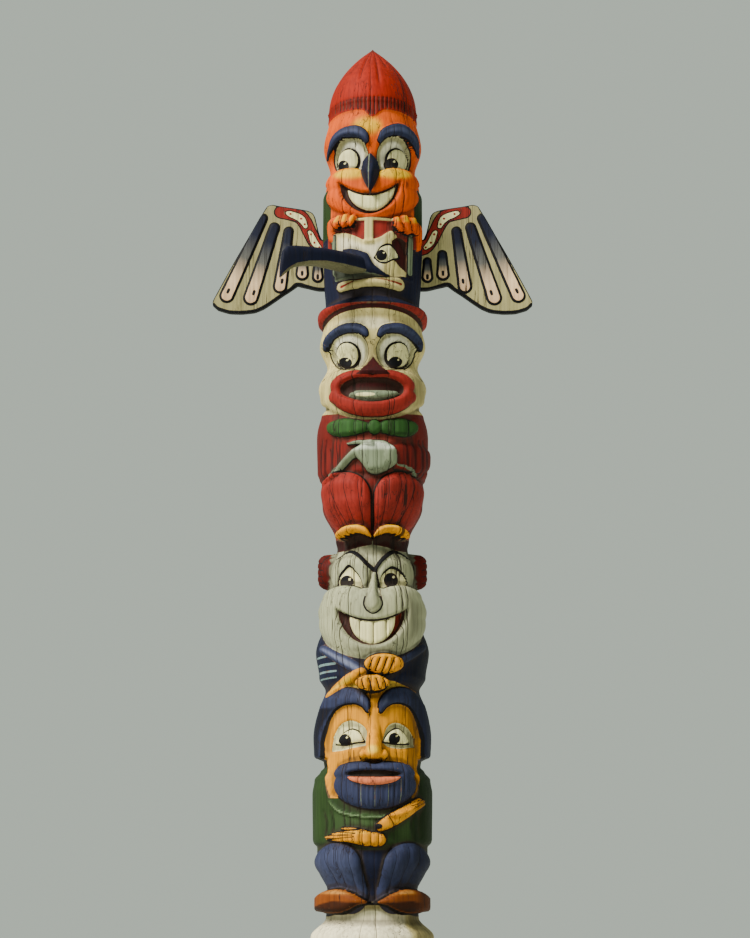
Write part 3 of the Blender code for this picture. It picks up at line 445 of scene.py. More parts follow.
# %% Its coat, legs and hands
def thinker_coat(log):
    """The coat with its collar, and the beard that lies over them."""
    x, side, z = log.x, log.side, log.tipped(0.06)
    jaw = log.ahead(np.maximum(band(z, 1.78, 2.40), side - (.265 + .22 * (z - 1.80))))
    log.paint("green", np.maximum(band(log.z, 1.45, 2.000), -jaw))
    # Lighter patches on the coat's front and at both its sides
    log.paint_light_and_tone(log.ahead(oval(x, z, -.03, 1.655, .17, .07)), 0.45, 0.05)
    log.paint_light_and_tone(log.ahead(oval(side, z, .20, 1.62, .12, .14)), 0.35, 0.10)
    whiskers = log.ahead(np.maximum(np.minimum(oval(x, z, .015, 1.856, .243, .146),
                                               oval(np.abs(x - .012), z, .09, 1.925, .15, .073)),
                                               -oval(x, z, .008, 2.035, .066, .048)))
    log.boss(whiskers, 0.350, 0.055, 0.08)
    log.paint("blue", whiskers)
    log.line(whiskers, width=0.0055)
    mouth = log.ahead(oval(x, z, .008, 1.924, .146, .022))
    log.step(mouth, -0.035, 0.02)
    log.paint("black", mouth)
    lip = log.ahead(np.maximum(oval(x, z, .008, 1.912, .142, .056), z - 1.908))
    log.dome(lip, 0.018, 0.02)
    log.paint("salmon", lip)
    log.line(lip, width=0.002)
    hair = np.maximum(whiskers + .012, z - 1.895)
    strand = ribs(x, .026)
    log.r = log.r - 0.006 * np.exp(-((strand / 0.005) ** 2)) * ease(-np.maximum(hair, -lip) / 0.012)
    for cx, half in ((-.155, .0015), (-.105, .001), (-.060, .0015), (.012, .003), (.085, .001),
                     (.150, .0015)):
        log.paint("grey", np.maximum(np.maximum(hair, -lip), np.abs(x - cx) - half))
    collar = log.ahead(np.maximum(stroke(side, z,
                                         [(.255, 1.765, .006), (.20, 1.706, .010), (.12, 1.680, .010),
                                          (.0, 1.668, .007)]), -whiskers))
    log.dome(collar, 0.018, 0.010)
    log.paint("green", collar)
    # The collar lighter than the coat
    log.paint_light_and_tone(collar, 0.9, 0.006)
    sleeve = stroke(side, z, [(.33, 1.86, .06), (.355, 1.72, .065), (.355, 1.56, .06)])
    log.step(np.maximum(sleeve, log.behind - .15), 0.012, 0.05)
    for cx in (.245, .285):
        fold = stroke(side, z, [(cx, 1.70, .001), (cx - .012, 1.62, .005), (cx, 1.54, .001)])
        log.groove(fold, 0.006, 0.007)
        # Painted shade in each fold
        log.paint_light_and_tone(log.ahead(fold - .005), -0.7, 0.008)


def thinker_legs(log):
    """Drawn-up knees and shoes."""
    side, z = log.side, log.tipped(0.06)
    low = np.where(log.front > 0, np.interp(side, *np.array(DOME_TOP).T), 1.06)
    log.paint("navy", np.maximum(low - z, log.z - 1.452))
    leg = log.ahead(stroke(side, z, [(.205, 1.370, .146), (.182, 1.30, .134), (.145, 1.21, .120)]))
    log.r = log.r + 0.055 * bulge(-leg / 0.08) * (0.5 + 0.5 * ease((z - 1.18) / .2))
    log.paint("blue", leg)
    # Painted highlight on the left knee, painted shade on the right one
    log.paint_light_and_tone(np.maximum(leg, log.x - .02), 0.3, 0.06)
    log.paint_light_and_tone(np.maximum(leg, .10 - log.x), -0.35, 0.08)
    log.line(leg, z > 1.25, width=0.006)
    for cx in (.13, .20, .26):
        off = side - cx * (.7 + .3 * ease((z - 1.15) / .3))
        log.cut(off, 0.006, 0.009, leg + .01, leg < -.02, 0.0012)
    upper = [(.004, 1.155), (.032, 1.173), (.063, 1.192), (.114, 1.220), (.176, 1.240), (.239, 1.232),
             (.285, 1.208), (.318, 1.165)]
    lower = [(.004, 1.150), (.032, 1.150), (.080, 1.138), (.120, 1.115), (.176, 1.092), (.239, 1.086),
             (.318, 1.090)]
    toe = log.ahead(between(side, z, upper, lower))
    heel = np.maximum(band(log.z, 1.085, 1.175), (np.abs(log.turn) - radians(112)) * .35)
    shoe = np.minimum(toe, np.maximum(heel, .300 - side))
    log.boss(shoe, 0.325, 0.050, 0.045)
    log.paint("leather", shoe)
    # Painted light on the shoes: shade along their lower part, highlights along the upper edge and on the
    # toes
    log.paint_light_and_tone(np.maximum(shoe, z - np.interp(side, (0, .10, .20, .26, .30, .34),
                                             (1.15, 1.168, 1.172, 1.15, 1.125, 1.09))), -0.75, 0.012)
    log.paint_light_and_tone(np.maximum(shoe, np.interp(side, *np.array(upper).T) - .020 - z), 0.4, 0.012)
    log.paint_light_and_tone(np.maximum(toe, 1.19 - z), 0.9, 0.03)
    log.paint_light_and_tone(np.maximum(shoe, z - 1.13), -0.9, 0.03)
    log.line(shoe, width=0.006)


def thinker_hands(log):
    """One arm that points across the coat, and one flat hand."""
    x, z = log.x, log.tipped(0.06)
    arm = log.ahead(stroke(x, z, [(.262, 1.748, .034), (.185, 1.695, .039), (.100, 1.643, .042),
                                  (.048, 1.612, .032)]))
    log.dome(arm, 0.040, 0.03)
    log.paint("ochre", arm)
    # The arm lighter along its lower half
    log.paint_light_and_tone(np.maximum(arm, (z - 1.695) - .6 * (x - .18)), 0.4, 0.03)
    log.line(arm)
    log.cut((x - .105) * .86 + (z - 1.645) * .5, .012, .008, arm, arm < -.004, 0.0025)
    for off in (-.008, .014):
        split = (z - 1.722 - off) - .55 * (x - .22)
        log.cut(split, .008, .006, np.maximum(arm + .004, .205 - x), (arm < -.004) & (x > .205))
    log.paint("black", log.ahead(oval(x, z, .032, 1.612, .022, .016)))
    hand = stroke(x, z, [(.036, 1.533, .044), (-.04, 1.540, .047), (-.12, 1.552, .040),
                         (-.20, 1.549, .030), (-.256, 1.540, .016)])
    thumb = stroke(x, z, [(-.04, 1.580, .015), (-.11, 1.594, .013), (-.172, 1.600, .008)])
    hand = log.ahead(np.minimum(hand, thumb))
    log.dome(hand, 0.044, 0.03)
    log.paint("ochre", hand)
    # Painted highlight on the hand's upper part
    log.paint_light_and_tone(np.maximum(hand, 1.555 - z), 0.5, 0.02)
    log.line(hand)
    for cz, start in ((1.580, -.07), (1.560, -.085), (1.540, -.095)):
        split = z - cz - .10 * (x + .18)
        log.cut(split, .012, .006, np.maximum(hand, x - start), (hand < -.003) & (x < start))
    for cx in (-.055, -.008, .034):
        log.cut(x - cx, .012, .007, hand, hand < -.004)

# %% [markdown]
# The grinning head
#
# Its muzzle is one wide swelling that starts below the eyes and hides their lower edges. The mouth is
# cut deep, and the teeth are raised again inside it, so they catch the light behind a shadowed rim.

# %% The grinning head, its shoulders and fists
def grinner(log):
    """Brows, eyes, ears, the wide muzzle, the nose and the mouth full of teeth."""
    x, side, z = log.x, log.side, log.tipped(0.12)
    crown = [(-.29, 3.33), (-.224, 3.349), (-.141, 3.378), (-.015, 3.400), (.110, 3.377), (.205, 3.347),
             (.29, 3.33)]
    log.paint("stone", np.maximum(2.86 - z, z - np.interp(x, *np.array(crown).T)))
    # Painted shade over the middle of the forehead, and over the head's right side
    log.paint_light_and_tone(log.ahead(oval(x, z, .01, 3.35, .13, .085)), -0.5, 0.05)
    log.paint_light_and_tone(log.ahead(.20 - x), -0.5, 0.06)
    lid = log.ahead(oval(side, z, .150, 3.175, .135, .140))
    log.dome(lid, 0.026, 0.06)
    # Painted shade along the lids' upper rims, under the brows
    log.paint_light_and_tone(np.maximum(np.abs(lid + .022) - .022, 3.14 - z), -0.4, 0.02)
    left = stroke(x, z, [(.014, 3.198, .014), (-.040, 3.244, .014), (-.090, 3.292, .013),
                         (-.154, 3.322, .011), (-.204, 3.306, .009), (-.238, 3.272, .005)])
    right = stroke(x, z, [(.014, 3.198, .014), (.060, 3.264, .014), (.123, 3.311, .013),
                          (.173, 3.320, .011), (.224, 3.302, .009), (.263, 3.272, .005)])
    brow = log.ahead(np.minimum(left, right))
    log.dome(brow, 0.014, 0.012)
    log.paint("black", brow)
    arch = [(-.234, 3.075), (-.218, 3.152), (-.186, 3.197), (-.149, 3.226), (-.103, 3.184),
            (-.073, 3.137), (-.058, 3.080)]
    arch_right = [(.042, 3.080), (.058, 3.160), (.094, 3.201), (.130, 3.216), (.174, 3.198),
                  (.212, 3.154), (.238, 3.080)]
    eye = log.ahead(np.minimum(between(x, z, arch, [(-.234, 3.02), (-.058, 3.02)]),
                               between(x, z, arch_right, [(.042, 3.02), (.238, 3.02)])))
    log.step(eye, -0.014, 0.02)
    log.paint("white", eye)
    pupils(log, z, (-.170, 3.124, .046, .044), (.123, 3.138, .048, .046))
    log.line(eye, width=0.0085)
    from_ear = (np.abs(log.turn) - radians(84)) * .33     # along the skin, from the ear's middle
    ear = oval(from_ear, log.z, 0, 3.195, .072, .118)
    log.boss(ear, 0.268, 0.082, 0.06)
    log.paint("hood", ear)
    # The ears a darker tone, darkest in their middles
    log.paint_light_and_tone(ear, -0.55, 0.03)
    log.paint_light_and_tone(ear - .012, -0.7, 0.012)
    for dz in (-.062, -.02, .022, .064):
        off = (log.z - 3.19 - dz) - .25 * from_ear
        log.cut(off, 0.006, 0.006, ear + .020, ear < -.014, 0.0026)
    muzzle = log.ahead(np.minimum(oval(side, z, .160, 2.940, .192, .162),
                                  oval(x, z, 0, 2.865, .350, .222)))
    log.boss(muzzle, 0.325, 0.058, 0.13)
    log.paint("stone", muzzle)
    # Painted shade on the muzzle's lower part and on its right
    log.paint_light_and_tone(np.maximum(muzzle, z - 2.75), -0.6, 0.08)
    log.paint_light_and_tone(np.maximum(muzzle, .14 - x), -0.45, 0.10)
    log.line(muzzle, z > 2.98)
    nose = log.ahead(stroke(x, z, [(.012, 3.172, .012), (.006, 3.110, .024), (.002, 3.020, .044),
                                   (.004, 2.985, .053), (.004, 2.950, .028)]))
    log.boss(nose, 0.305, 0.015 + 0.095 * ease((3.185 - z) / .17), 0.04)
    log.paint("stone", nose)
    log.line(nose, z < 3.03, width=0.005)
    log.paint("black", log.ahead(stroke(x, z, [(.024, 3.195, .007), (.036, 3.140, .005),
                                               (.046, 3.060, .003), (.057, 3.000, .003)])))
    mouth = log.ahead(smile(x, z, -.005, 2.950, 2.732, .204, .070))
    # Painted shade round the mouth's rim
    log.paint_light_and_tone(mouth - .012, -0.6, 0.012)
    log.step(mouth, -0.050, 0.03)
    log.paint("maroon", mouth)
    log.paint("hood", np.maximum(mouth + .010, .120 - x))
    log.line(mouth, (z > 2.86) & (np.abs(x) < .165), width=0.006)
    teeth = log.ahead(np.maximum(mouth + .006, oval(x, z, .000, 2.895, .142, .156)))
    row_of_teeth(log, teeth, (-.078, .006, .082), 0.012, 0.007)


def grinner_body(log):
    """Rounded shoulders with striped sleeves and a collar."""
    x, side, z = log.x, log.side, log.tipped(0.12)
    chin = log.ahead(oval(x, z, 0, 2.865, .350, .222))
    arc = [(0, 2.525), (.07, 2.522), (.148, 2.508), (.229, 2.474), (.279, 2.448), (.35, 2.420)]
    low = np.where(log.front > 0, np.interp(side, *np.array(arc).T), 2.42)
    log.paint("navy", np.maximum(np.maximum(low - z, log.z - 2.86), -chin))
    sleeve = stroke(side, z, [(.345, 2.72, .06), (.350, 2.60, .065), (.30, 2.52, .055), (.20, 2.50, .05)])
    log.step(np.maximum(sleeve, log.behind - .15), 0.006, 0.05)
    rings = np.min([np.abs(log.z - cz) - half
                    for cz, half in ((2.636, .006), (2.588, .007), (2.543, .006), (2.503, .005))], axis=0)
    log.paint("pale", np.maximum(rings, np.maximum(log.behind - .05, np.maximum(x + .232, -.345 - x))))
    # The middle of each stripe a little darker
    log.paint_light_and_tone(np.maximum(rings - .004, x + .2), -0.3, 0.01)
    collar = log.ahead(np.maximum(stroke(x, z, [(-.300, 2.705, .026), (-.20, 2.645, .036),
                                                (-.10, 2.590, .034), (-.03, 2.565, .020)]), -chin))
    log.dome(collar, 0.012, 0.03)
    log.paint("blue", collar)
    # The collar a paler blue
    log.paint_light_and_tone(collar, 0.8, 0.03)
    other = log.ahead(np.maximum(stroke(x, z, [(.310, 2.72, .020), (.24, 2.665, .024),
                                               (.16, 2.625, .020)]), -chin))
    log.dome(other, 0.014, 0.018)
    log.paint("blue", other)


def grinner_fists(log):
    """A wrist and two fists, one above the other."""
    x, z = log.x, log.tipped(0.12)
    wrist = log.ahead(stroke(x, z, [(-.070, 2.555, .036), (-.150, 2.520, .034), (-.235, 2.462, .026),
                                    (-.290, 2.42, .018)]))
    log.dome(wrist, 0.020, 0.03)
    log.paint("ochre", wrist)
    # The wrist lighter towards its left end
    log.paint_light_and_tone(np.maximum(wrist, x + .12), 0.7, 0.03)
    upper = log.ahead(oval(x, z, .066, 2.612, .116, .068))
    log.boss(upper, 0.360, 0.058, 0.045)
    log.paint("ochre", upper)
    # Painted highlight on the upper fist's top
    log.paint_light_and_tone(np.maximum(upper, 2.64 - z), 0.7, 0.03)
    log.line(upper, width=0.0055)
    for cx in (-.012, .026, .064, .102):
        off = (x - cx) * .95 - (z - 2.600) * .32
        log.cut(off, .018, .007, np.maximum(upper + .012, z - 2.655), (upper < -.012) & (z < 2.650), .003)
    lower = log.ahead(oval(x, z, .000, 2.492, .096, .056))
    log.boss(lower, 0.362, 0.058, 0.04)
    log.paint("ochre", lower)
    # Painted highlight on the lower fist's top
    log.paint_light_and_tone(np.maximum(lower, 2.50 - z), 0.5, 0.03)
    log.line(lower, width=0.0055)
    for cx in (-.050, -.012, .026, .062):
        off = (x - cx) * .97 + (z - 2.49) * .20
        log.cut(off, .018, .007, np.maximum(lower + .008, z - 2.525), (lower < -.008) & (z < 2.520), .003)

# %% [markdown]
# The red-coated figure
#
# A round head under a hat band, with wide lips, a bow under the chin, pale hands and red knees. The
# coat and the legs are the same swellings as on the bearded figure, at another height.

# %% The red-coated figure's head
def clown(log):
    """The hat band, the eyes, the cheeks, the wide lips and the tongue."""
    x, side, z = log.x, log.side, log.tipped(0.20)
    forward = np.maximum(log.front, 0)
    log.paint("cream", band(z, 4.23, 5.0))
    log.paint("navy", np.maximum(4.9 - log.z, log.z - 5.0))
    roll = band(log.z, 4.818 + 0.074 * forward, 4.897 + 0.057 * forward)
    log.dome(roll, 0.026, 0.03)
    # Painted shadow: a maroon band under the hat's roll
    log.paint("maroon", band(log.z, 4.790 + 0.074 * forward, 4.90))
    log.paint("red", roll)
    log.paint("navy", 4.897 + 0.057 * forward - log.z)
    # Painted highlight on the forehead under the hat band
    log.paint_light_and_tone(log.ahead(oval(x, z, -.05, 4.83, .22, .07)), 0.7, 0.05)
    round_eyes(log, z, (.171, 4.650, .142, .134), (.186, 4.622, .088, .088))
    pupils(log, z, (-.196, 4.572, .050, .034), (.163, 4.576, .047, .034))
    left = [(-.322, 4.66, .006), (-.300, 4.715, .017), (-.262, 4.762, .024), (-.193, 4.795, .030),
            (-.112, 4.797, .030), (-.060, 4.775, .028), (-.040, 4.750, .016)]
    right = [(.045, 4.748, .017), (.070, 4.780, .028), (.116, 4.795, .030), (.190, 4.798, .032),
             (.255, 4.768, .030), (.304, 4.716, .018), (.325, 4.66, .006)]
    brows(log, z, left, right, 0.020)
    muzzle = log.ahead(np.minimum(oval(x, z, 0, 4.365, .352, .176),
                                  oval(side, z, .17, 4.405, .175, .120)))
    log.boss(muzzle, 0.332, 0.045, 0.12)
    log.paint("cream", muzzle)
    # Painted shade: the muzzle darker towards its sides
    log.paint_light_and_tone(np.maximum(muzzle, .24 - np.abs(x + .02)), -0.35, 0.04)
    log.line(muzzle, z > 4.45)
    lips = log.ahead(np.minimum(oval(x, z, 0, 4.335, .247, .133), oval(side, z, .105, 4.405, .142, .105)))
    log.dome(lips, 0.034, 0.05)
    log.paint("red", lips)
    # Painted shade: the lips darker on their lower part
    log.paint_light_and_tone(np.maximum(lips, z - 4.28), -0.35, 0.05)
    log.line(lips, width=0.0022)
    nose = log.ahead(np.maximum(np.abs(x - .004) - .008 - .72 * (4.588 - z), 4.484 - z))
    log.raise_to(nose, 0.340 + 0.075 * ease((4.588 - z) / 0.10))
    log.paint("maroon", nose - .008)
    mouth = log.ahead(np.maximum(oval(x, z, -.003, 4.382, .184, .088), z - 4.460))
    log.step(mouth, -0.055, 0.03)
    log.paint("maroon", mouth)
    tongue = log.ahead(np.maximum(np.maximum(mouth + .008, oval(x, z, .016, 4.338, .154, .047)),
                                  z - 4.370))
    log.dome(tongue, 0.038, 0.03)
    log.paint("grey", tongue)
    log.paint("white", np.maximum(tongue + .006, oval(x, z, -.04, 4.336, .055, .013)))

# %% Its bow, arms, legs and hands
def clown_body(log):
    """The coat with its folded sleeves, the bow and the upper arms."""
    x, side, z = log.x, log.side, log.tipped(0.20)
    chin = log.ahead(oval(x, z, 0, 4.365, .352, .176))
    log.paint("red", np.maximum(band(log.z, 3.40, 4.245), -chin))
    # The coat's red a darker tone all over, and a painted highlight under the bow
    log.paint_light_and_tone(np.maximum(band(log.z, 3.40, 4.245), -chin), -0.5, 0.01)
    log.paint_light_and_tone(log.ahead(oval(x, z, .0, 4.055, .16, .05)), 0.5, 0.04)
    sleeve = stroke(side, z, [(.30, 4.16, .055), (.335, 4.03, .06), (.335, 3.88, .06)])
    log.step(np.maximum(sleeve, log.behind - .15), 0.013, 0.04)
    for cx in (.215, .262, .298, .325):
        fold = stroke(side, z, [(cx - .01, 4.06, .001), (cx, 3.98, .005), (cx + .004, 3.86, .004),
                                (cx - .01, 3.80, .001)])
        log.groove(fold, 0.007, 0.006)
        # Painted shade in each fold
        log.paint_light_and_tone(log.ahead(fold - .004), -0.8, 0.006)
    lobes = stroke(side, z, [(.045, 4.140, .034), (.115, 4.140, .053), (.185, 4.138, .062),
                             (.220, 4.136, .055)])
    bow = log.ahead(np.maximum(np.minimum(lobes, oval(x, z, .012, 4.140, .042, .050)), -chin))
    log.dome(bow, 0.036, 0.03)
    log.paint("bow", bow)
    # Painted shade: the bow darker on its lower part
    log.paint_light_and_tone(np.maximum(bow, z - 4.115), -0.5, 0.02)
    log.line(bow, width=0.003)
    for cx in (-.20, -.11, -.035, .052, .13, .215):
        log.cut(x - cx, 0.011, 0.008, bow, bow < -.010)
    arm = log.ahead(stroke(x, z, [(.29, 3.93, .088), (.22, 3.945, .088), (.15, 3.95, .082)]))
    log.dome(arm, 0.022, 0.05)
    log.line(arm, (z < 3.95) & (x < .30), width=0.003)


def clown_legs(log):
    """Drawn-up knees and the feet under them."""
    side, z = log.side, log.tipped(0.20)
    leg = log.ahead(stroke(side, z, [(.170, 3.69, .163), (.160, 3.60, .154), (.130, 3.48, .125),
                                     (.115, 3.40, .110)]))
    leg = np.maximum(leg, 3.435 - z)
    log.r = log.r + 0.058 * bulge(-leg / 0.09) * (0.45 + 0.55 * ease((z - 3.40) / 0.25))
    log.paint("red", leg)
    # Painted shade over the legs, except a strip down the left knee
    log.paint_light_and_tone(np.maximum(leg, .05 - np.abs(log.x + .13)), -0.3, 0.06)
    log.line(leg, z > 3.47, width=0.006)
    for cx in (.085, .165, .245):
        off = side - cx * (0.55 + 0.45 * ease((z - 3.4) / .35))
        log.cut(off, 0.007, 0.009, leg + .01, leg < -.02, 0.0015)
    upper = [(.003, 3.428), (.035, 3.482), (.075, 3.502), (.112, 3.507), (.155, 3.497), (.190, 3.472),
             (.219, 3.418)]
    lower = [(.003, 3.416), (.050, 3.436), (.103, 3.449), (.160, 3.430), (.219, 3.402)]
    # Painted shadow under the feet: a maroon field, darkened further
    shadow_under_feet = log.ahead(between(side, z, lower + [(.330, 3.415)],
                             [(.003, 3.385), (.110, 3.368), (.219, 3.340), (.330, 3.325)]))
    log.paint("maroon", shadow_under_feet)
    log.paint_light_and_tone(shadow_under_feet, -0.5, 0.01)
    foot = log.ahead(between(side, z, upper, lower))
    log.boss(foot, 0.290, 0.058, 0.035)
    log.paint("ochre", foot)
    # Painted highlight on the feet's tops
    log.paint_light_and_tone(np.maximum(foot, 3.47 - z), 0.8, 0.02)
    log.line(foot, width=0.003)


def clown_hands(log):
    """A hand on the belly, with the fingers of the other beside it."""
    x, z = log.x, log.tipped(0.20)
    upper = [(-.325, 3.778), (-.231, 3.890), (-.142, 3.986), (-.085, 4.022), (-.030, 4.052),
             (.055, 4.056), (.110, 4.032), (.138, 3.985), (.146, 3.93)]
    lower = [(-.325, 3.755), (-.302, 3.757), (-.205, 3.836), (-.116, 3.934), (-.085, 3.925),
             (-.047, 3.875), (-.022, 3.840), (.035, 3.833), (.098, 3.862), (.138, 3.895), (.146, 3.92)]
    palm = log.ahead(between(x, z, upper, lower))
    log.dome(palm, 0.050, 0.06)
    thumb = log.ahead(stroke(x, z, [(-.01, 4.038, .016), (-.08, 4.042, .014), (-.150, 4.032, .008)]))
    log.dome(thumb, 0.036, 0.014)
    hand = np.minimum(palm, thumb)
    log.paint("grey", hand)
    # Painted highlight on the hand's upper part
    log.paint_light_and_tone(np.maximum(hand, 3.97 - z), 0.9, 0.03)
    log.line(hand, width=0.0035)
    for cx, cz in ((-.185, 3.92), (-.255, 3.845)):
        off = (x - cx) * .8 - (z - cz) * .6
        log.cut(off, .012, .007, palm, palm < -.004, 0.0015)
    fingers = log.ahead(stroke(x, z, [(.150, 3.893, .005), (.200, 3.884, .008), (.255, 3.853, .009),
                                      (.305, 3.785, .007)]))
    log.dome(fingers, 0.018, 0.010)
    log.paint("grey", fingers)

# %% [markdown]
# The bird and the watchman
#
# The bird's face is a low relief of painted fields, because its beak is a piece of its own. Above it the
# watchman leans out over the edge with both paws, under a knitted hood whose folds run to the tip.

# %% The bird's face
def raven(log):
    """The painted fields round the beak."""
    x, side, z = log.x, log.side, log.z
    log.paint("navy", band(z, 4.90, 5.395))
    log.paint("red", log.ahead(np.maximum(band(z, 5.30, 5.49), side - .31)))
    top = [(-.262, 5.395), (-.237, 5.396), (-.183, 5.384), (-.130, 5.361), (-.082, 5.334), (-.056, 5.324),
           (.005, 5.327), (.058, 5.347), (.093, 5.373), (.132, 5.391), (.163, 5.359), (.205, 5.30),
           (.233, 5.24)]
    face = log.ahead(between(x, z, top, [(-.262, 5.08), (.233, 5.08)]))
    log.step(face, 0.014, 0.02)
    log.paint("cream", face)
    # Painted light: the face lighter towards the left
    log.paint_light_and_tone(np.maximum(face, x - .10), 0.9, 0.06)
    bar = log.ahead(np.minimum(np.maximum(band(z, 5.30, 5.475), np.abs(x + .0245) - .0295),
                               np.maximum(band(z, 5.455, 5.473), np.abs(x - .02) - .125)))
    log.step(bar, 0.014, 0.012)
    log.paint("cream", bar)
    temple = log.ahead(between(x, z, [(.130, 5.322), (.165, 5.350), (.205, 5.352), (.234, 5.335)],
                               [(.130, 5.215), (.154, 5.192), (.190, 5.155), (.234, 5.128)]))
    log.step(temple, -0.014, 0.015)
    log.paint("maroon", temple)
    stripe = log.ahead(stroke(side, z, [(.258, 5.37, .018), (.258, 5.13, .018)]))
    log.step(stripe, 0.012, 0.012)
    log.paint("grey", stripe)
    log.line(stripe, width=0.003)
    lid = [(.014, 5.205), (.045, 5.263), (.088, 5.291), (.125, 5.292), (.154, 5.275), (.186, 5.222)]
    low = [(.014, 5.198), (.050, 5.172), (.092, 5.171), (.132, 5.194), (.186, 5.216)]
    eye = log.ahead(np.minimum(between(x, z, lid, low), between(-.049 - x, z + .035, lid, low)))
    log.step(eye, -0.010, 0.012)
    log.dome(eye, 0.014, 0.04)
    log.paint("white", eye)
    # Painted shade over the eyes, except the right eye's outer end
    log.paint_light_and_tone(np.maximum(eye, x - .09), -0.4, 0.01)
    pupils(log, z, (-.110, 5.183, .036, .036), (.060, 5.218, .036, .036))
    log.line(eye, width=0.007)
    root = log.ahead(between(x, z, [(-.20, 5.275), (-.139, 5.268), (-.064, 5.242), (-.029, 5.222),
                                    (.001, 5.162), (.045, 5.126), (.092, 5.095), (.150, 5.086),
                                    (.285, 5.100)],
                                    [(-.20, 5.150), (-.064, 5.109), (.023, 5.090), (.088, 5.080),
                                     (.285, 5.080)]))
    log.dome(root, 0.034, 0.06)
    log.paint("navy", root)
    jaw = log.ahead(between(x, z, [(-.262, 5.155), (-.20, 5.150), (-.064, 5.109), (.023, 5.090),
                                   (.088, 5.080), (.205, 5.078)], [(-.262, 5.075), (.205, 5.060)]))
    log.paint("grey", jaw)
    # Painted shadow: the field under the beak darkened
    log.paint_light_and_tone(jaw, -0.75, 0.01)
    lips = log.ahead(stroke(x, z, [(-.212, 5.026, .034), (-.13, 5.031, .034), (0, 5.041, .032),
                                   (.12, 5.039, .040), (.175, 5.036, .045)]))
    log.dome(lips, 0.034, 0.03)
    log.paint("cream", lips)
    log.line(lips, width=0.003)
    part = log.ahead(stroke(x, z, [(-.208, 5.024, .008), (-.180, 5.031, .006), (-.134, 5.050, .004),
                                   (-.082, 5.060, .003), (0, 5.062, .003), (.066, 5.058, .004),
                                   (.132, 5.048, .005), (.188, 5.038, .008)]))
    log.groove(part, 0.012, 0.010)
    log.paint("red", part)

# %% The watchman, its paws and its hood
def watchman(log):
    """The face under the hood: eyes, cheeks, grin and pointed nose."""
    x, side, z = log.x, log.side, log.tipped(0.22)
    log.paint("orange", band(z, 5.60, 6.5))
    coat = band(log.z, 5.395, 5.745)
    log.paint("green", np.maximum(coat, np.where(log.front > 0, .262 - side, -FAR)))
    log.paint("orange", log.ahead(np.maximum(band(z, 5.55, 5.80), side - .29)))
    # Painted highlight on the forehead
    log.paint_light_and_tone(log.ahead(oval(x, z, -.04, 6.19, .14, .10)), 0.45, 0.08)
    round_eyes(log, z, (.162, 5.977, .131, .147), (.188, 5.958, .084, .086))
    pupils(log, z, (-.217, 5.922, .046, .040), (.137, 5.930, .049, .042))
    left = [(-.322, 5.99, .006), (-.304, 6.045, .014), (-.258, 6.116, .026), (-.205, 6.146, .034),
            (-.123, 6.150, .039), (-.068, 6.123, .034), (-.045, 6.085, .020)]
    right = [(.052, 6.085, .018), (.085, 6.133, .032), (.14, 6.158, .038), (.20, 6.166, .044),
             (.258, 6.140, .040), (.300, 6.085, .026), (.325, 6.01, .008)]
    brows(log, z, left, right, 0.020)
    cheeks = log.ahead(np.minimum(oval(side, z, .155, 5.785, .157, .104),
                                  oval(x, z, 0, 5.700, .312, .152)))
    log.boss(cheeks, 0.332, 0.048, 0.10)
    log.paint("orange", cheeks)
    # Painted highlight on the cheeks' tops, painted shade on their lower part
    log.paint_light_and_tone(log.ahead(oval(side, z, .125, 5.842, .13, .062)), 0.5, 0.045)
    log.paint_light_and_tone(np.maximum(cheeks, z - 5.61), -0.35, 0.03)
    log.line(cheeks, z > 5.74)
    mouth = log.ahead(smile(x, z, -.022, 5.787, 5.573, .188, .082))
    # Painted shade round the mouth's rim
    log.paint_light_and_tone(mouth - .014, -0.6, 0.014)
    log.step(mouth, -0.050, 0.025)
    log.paint("maroon", mouth)
    teeth = log.ahead(np.maximum(mouth + 0.012, oval(x, z, -.004, 5.74, .158, .150)))
    row_of_teeth(log, teeth, (-.062, .022, .105), 0.008, 0.006)
    along = np.clip((5.981 - z) / 0.283, 0, 1)
    width = 0.059 * np.sin(pi * along ** .72)
    off = np.abs(x + .014)
    nose = log.ahead(np.where((along > 0) & (along < 1), off - width, 0.05))
    ridge = np.clip(1.25 - off / np.maximum(width, .004), 0, 1)
    log.raise_to(nose, 0.318 + (0.035 + 0.085 * ease(along / 0.6)) * ridge)
    log.paint("navy", nose)
    # Painted highlight: a thin grey line down the nose's ridge
    log.paint("grey", np.maximum(nose + .006, np.abs(x + .020) - .003))


def paws(log):
    """Three fingers at each side, hooked over the edge above the bird."""
    x, z = log.x, log.tipped(0.22)
    left = stroke(x, z, [(-.268, 5.40, .014), (-.270, 5.46, .022), (-.255, 5.515, .034),
                         (-.205, 5.530, .036)])
    right = stroke(x, z, [(.300, 5.345, .012), (.302, 5.44, .020), (.285, 5.50, .028),
                          (.215, 5.525, .034)])
    palm = log.ahead(np.minimum(left, right))
    log.boss(palm, 0.345, 0.030, 0.03)
    log.paint("orange", palm)
    fingers = (
        [(-.205, 5.545, .020), (-.224, 5.505, .024), (-.226, 5.486, .018)],
        [(-.165, 5.548, .022), (-.178, 5.508, .025), (-.180, 5.488, .018)],
        [(-.122, 5.540, .020), (-.135, 5.508, .022), (-.138, 5.492, .016)],
        [(.150, 5.530, .020), (.158, 5.495, .024), (.176, 5.462, .020)],
        [(.198, 5.545, .022), (.208, 5.495, .026), (.222, 5.452, .021)],
        [(.250, 5.535, .022), (.262, 5.490, .025), (.270, 5.452, .020)],
    )
    for points in fingers:
        finger = log.ahead(stroke(x, z, points))
        log.boss(finger, 0.355, 0.034, 0.022)
        log.paint("orange", finger)
        # Painted highlight on the fingers' tops
        log.paint_light_and_tone(np.maximum(finger, 5.50 - z), 0.4, 0.02)
        log.line(finger, z < 5.525, width=0.003)


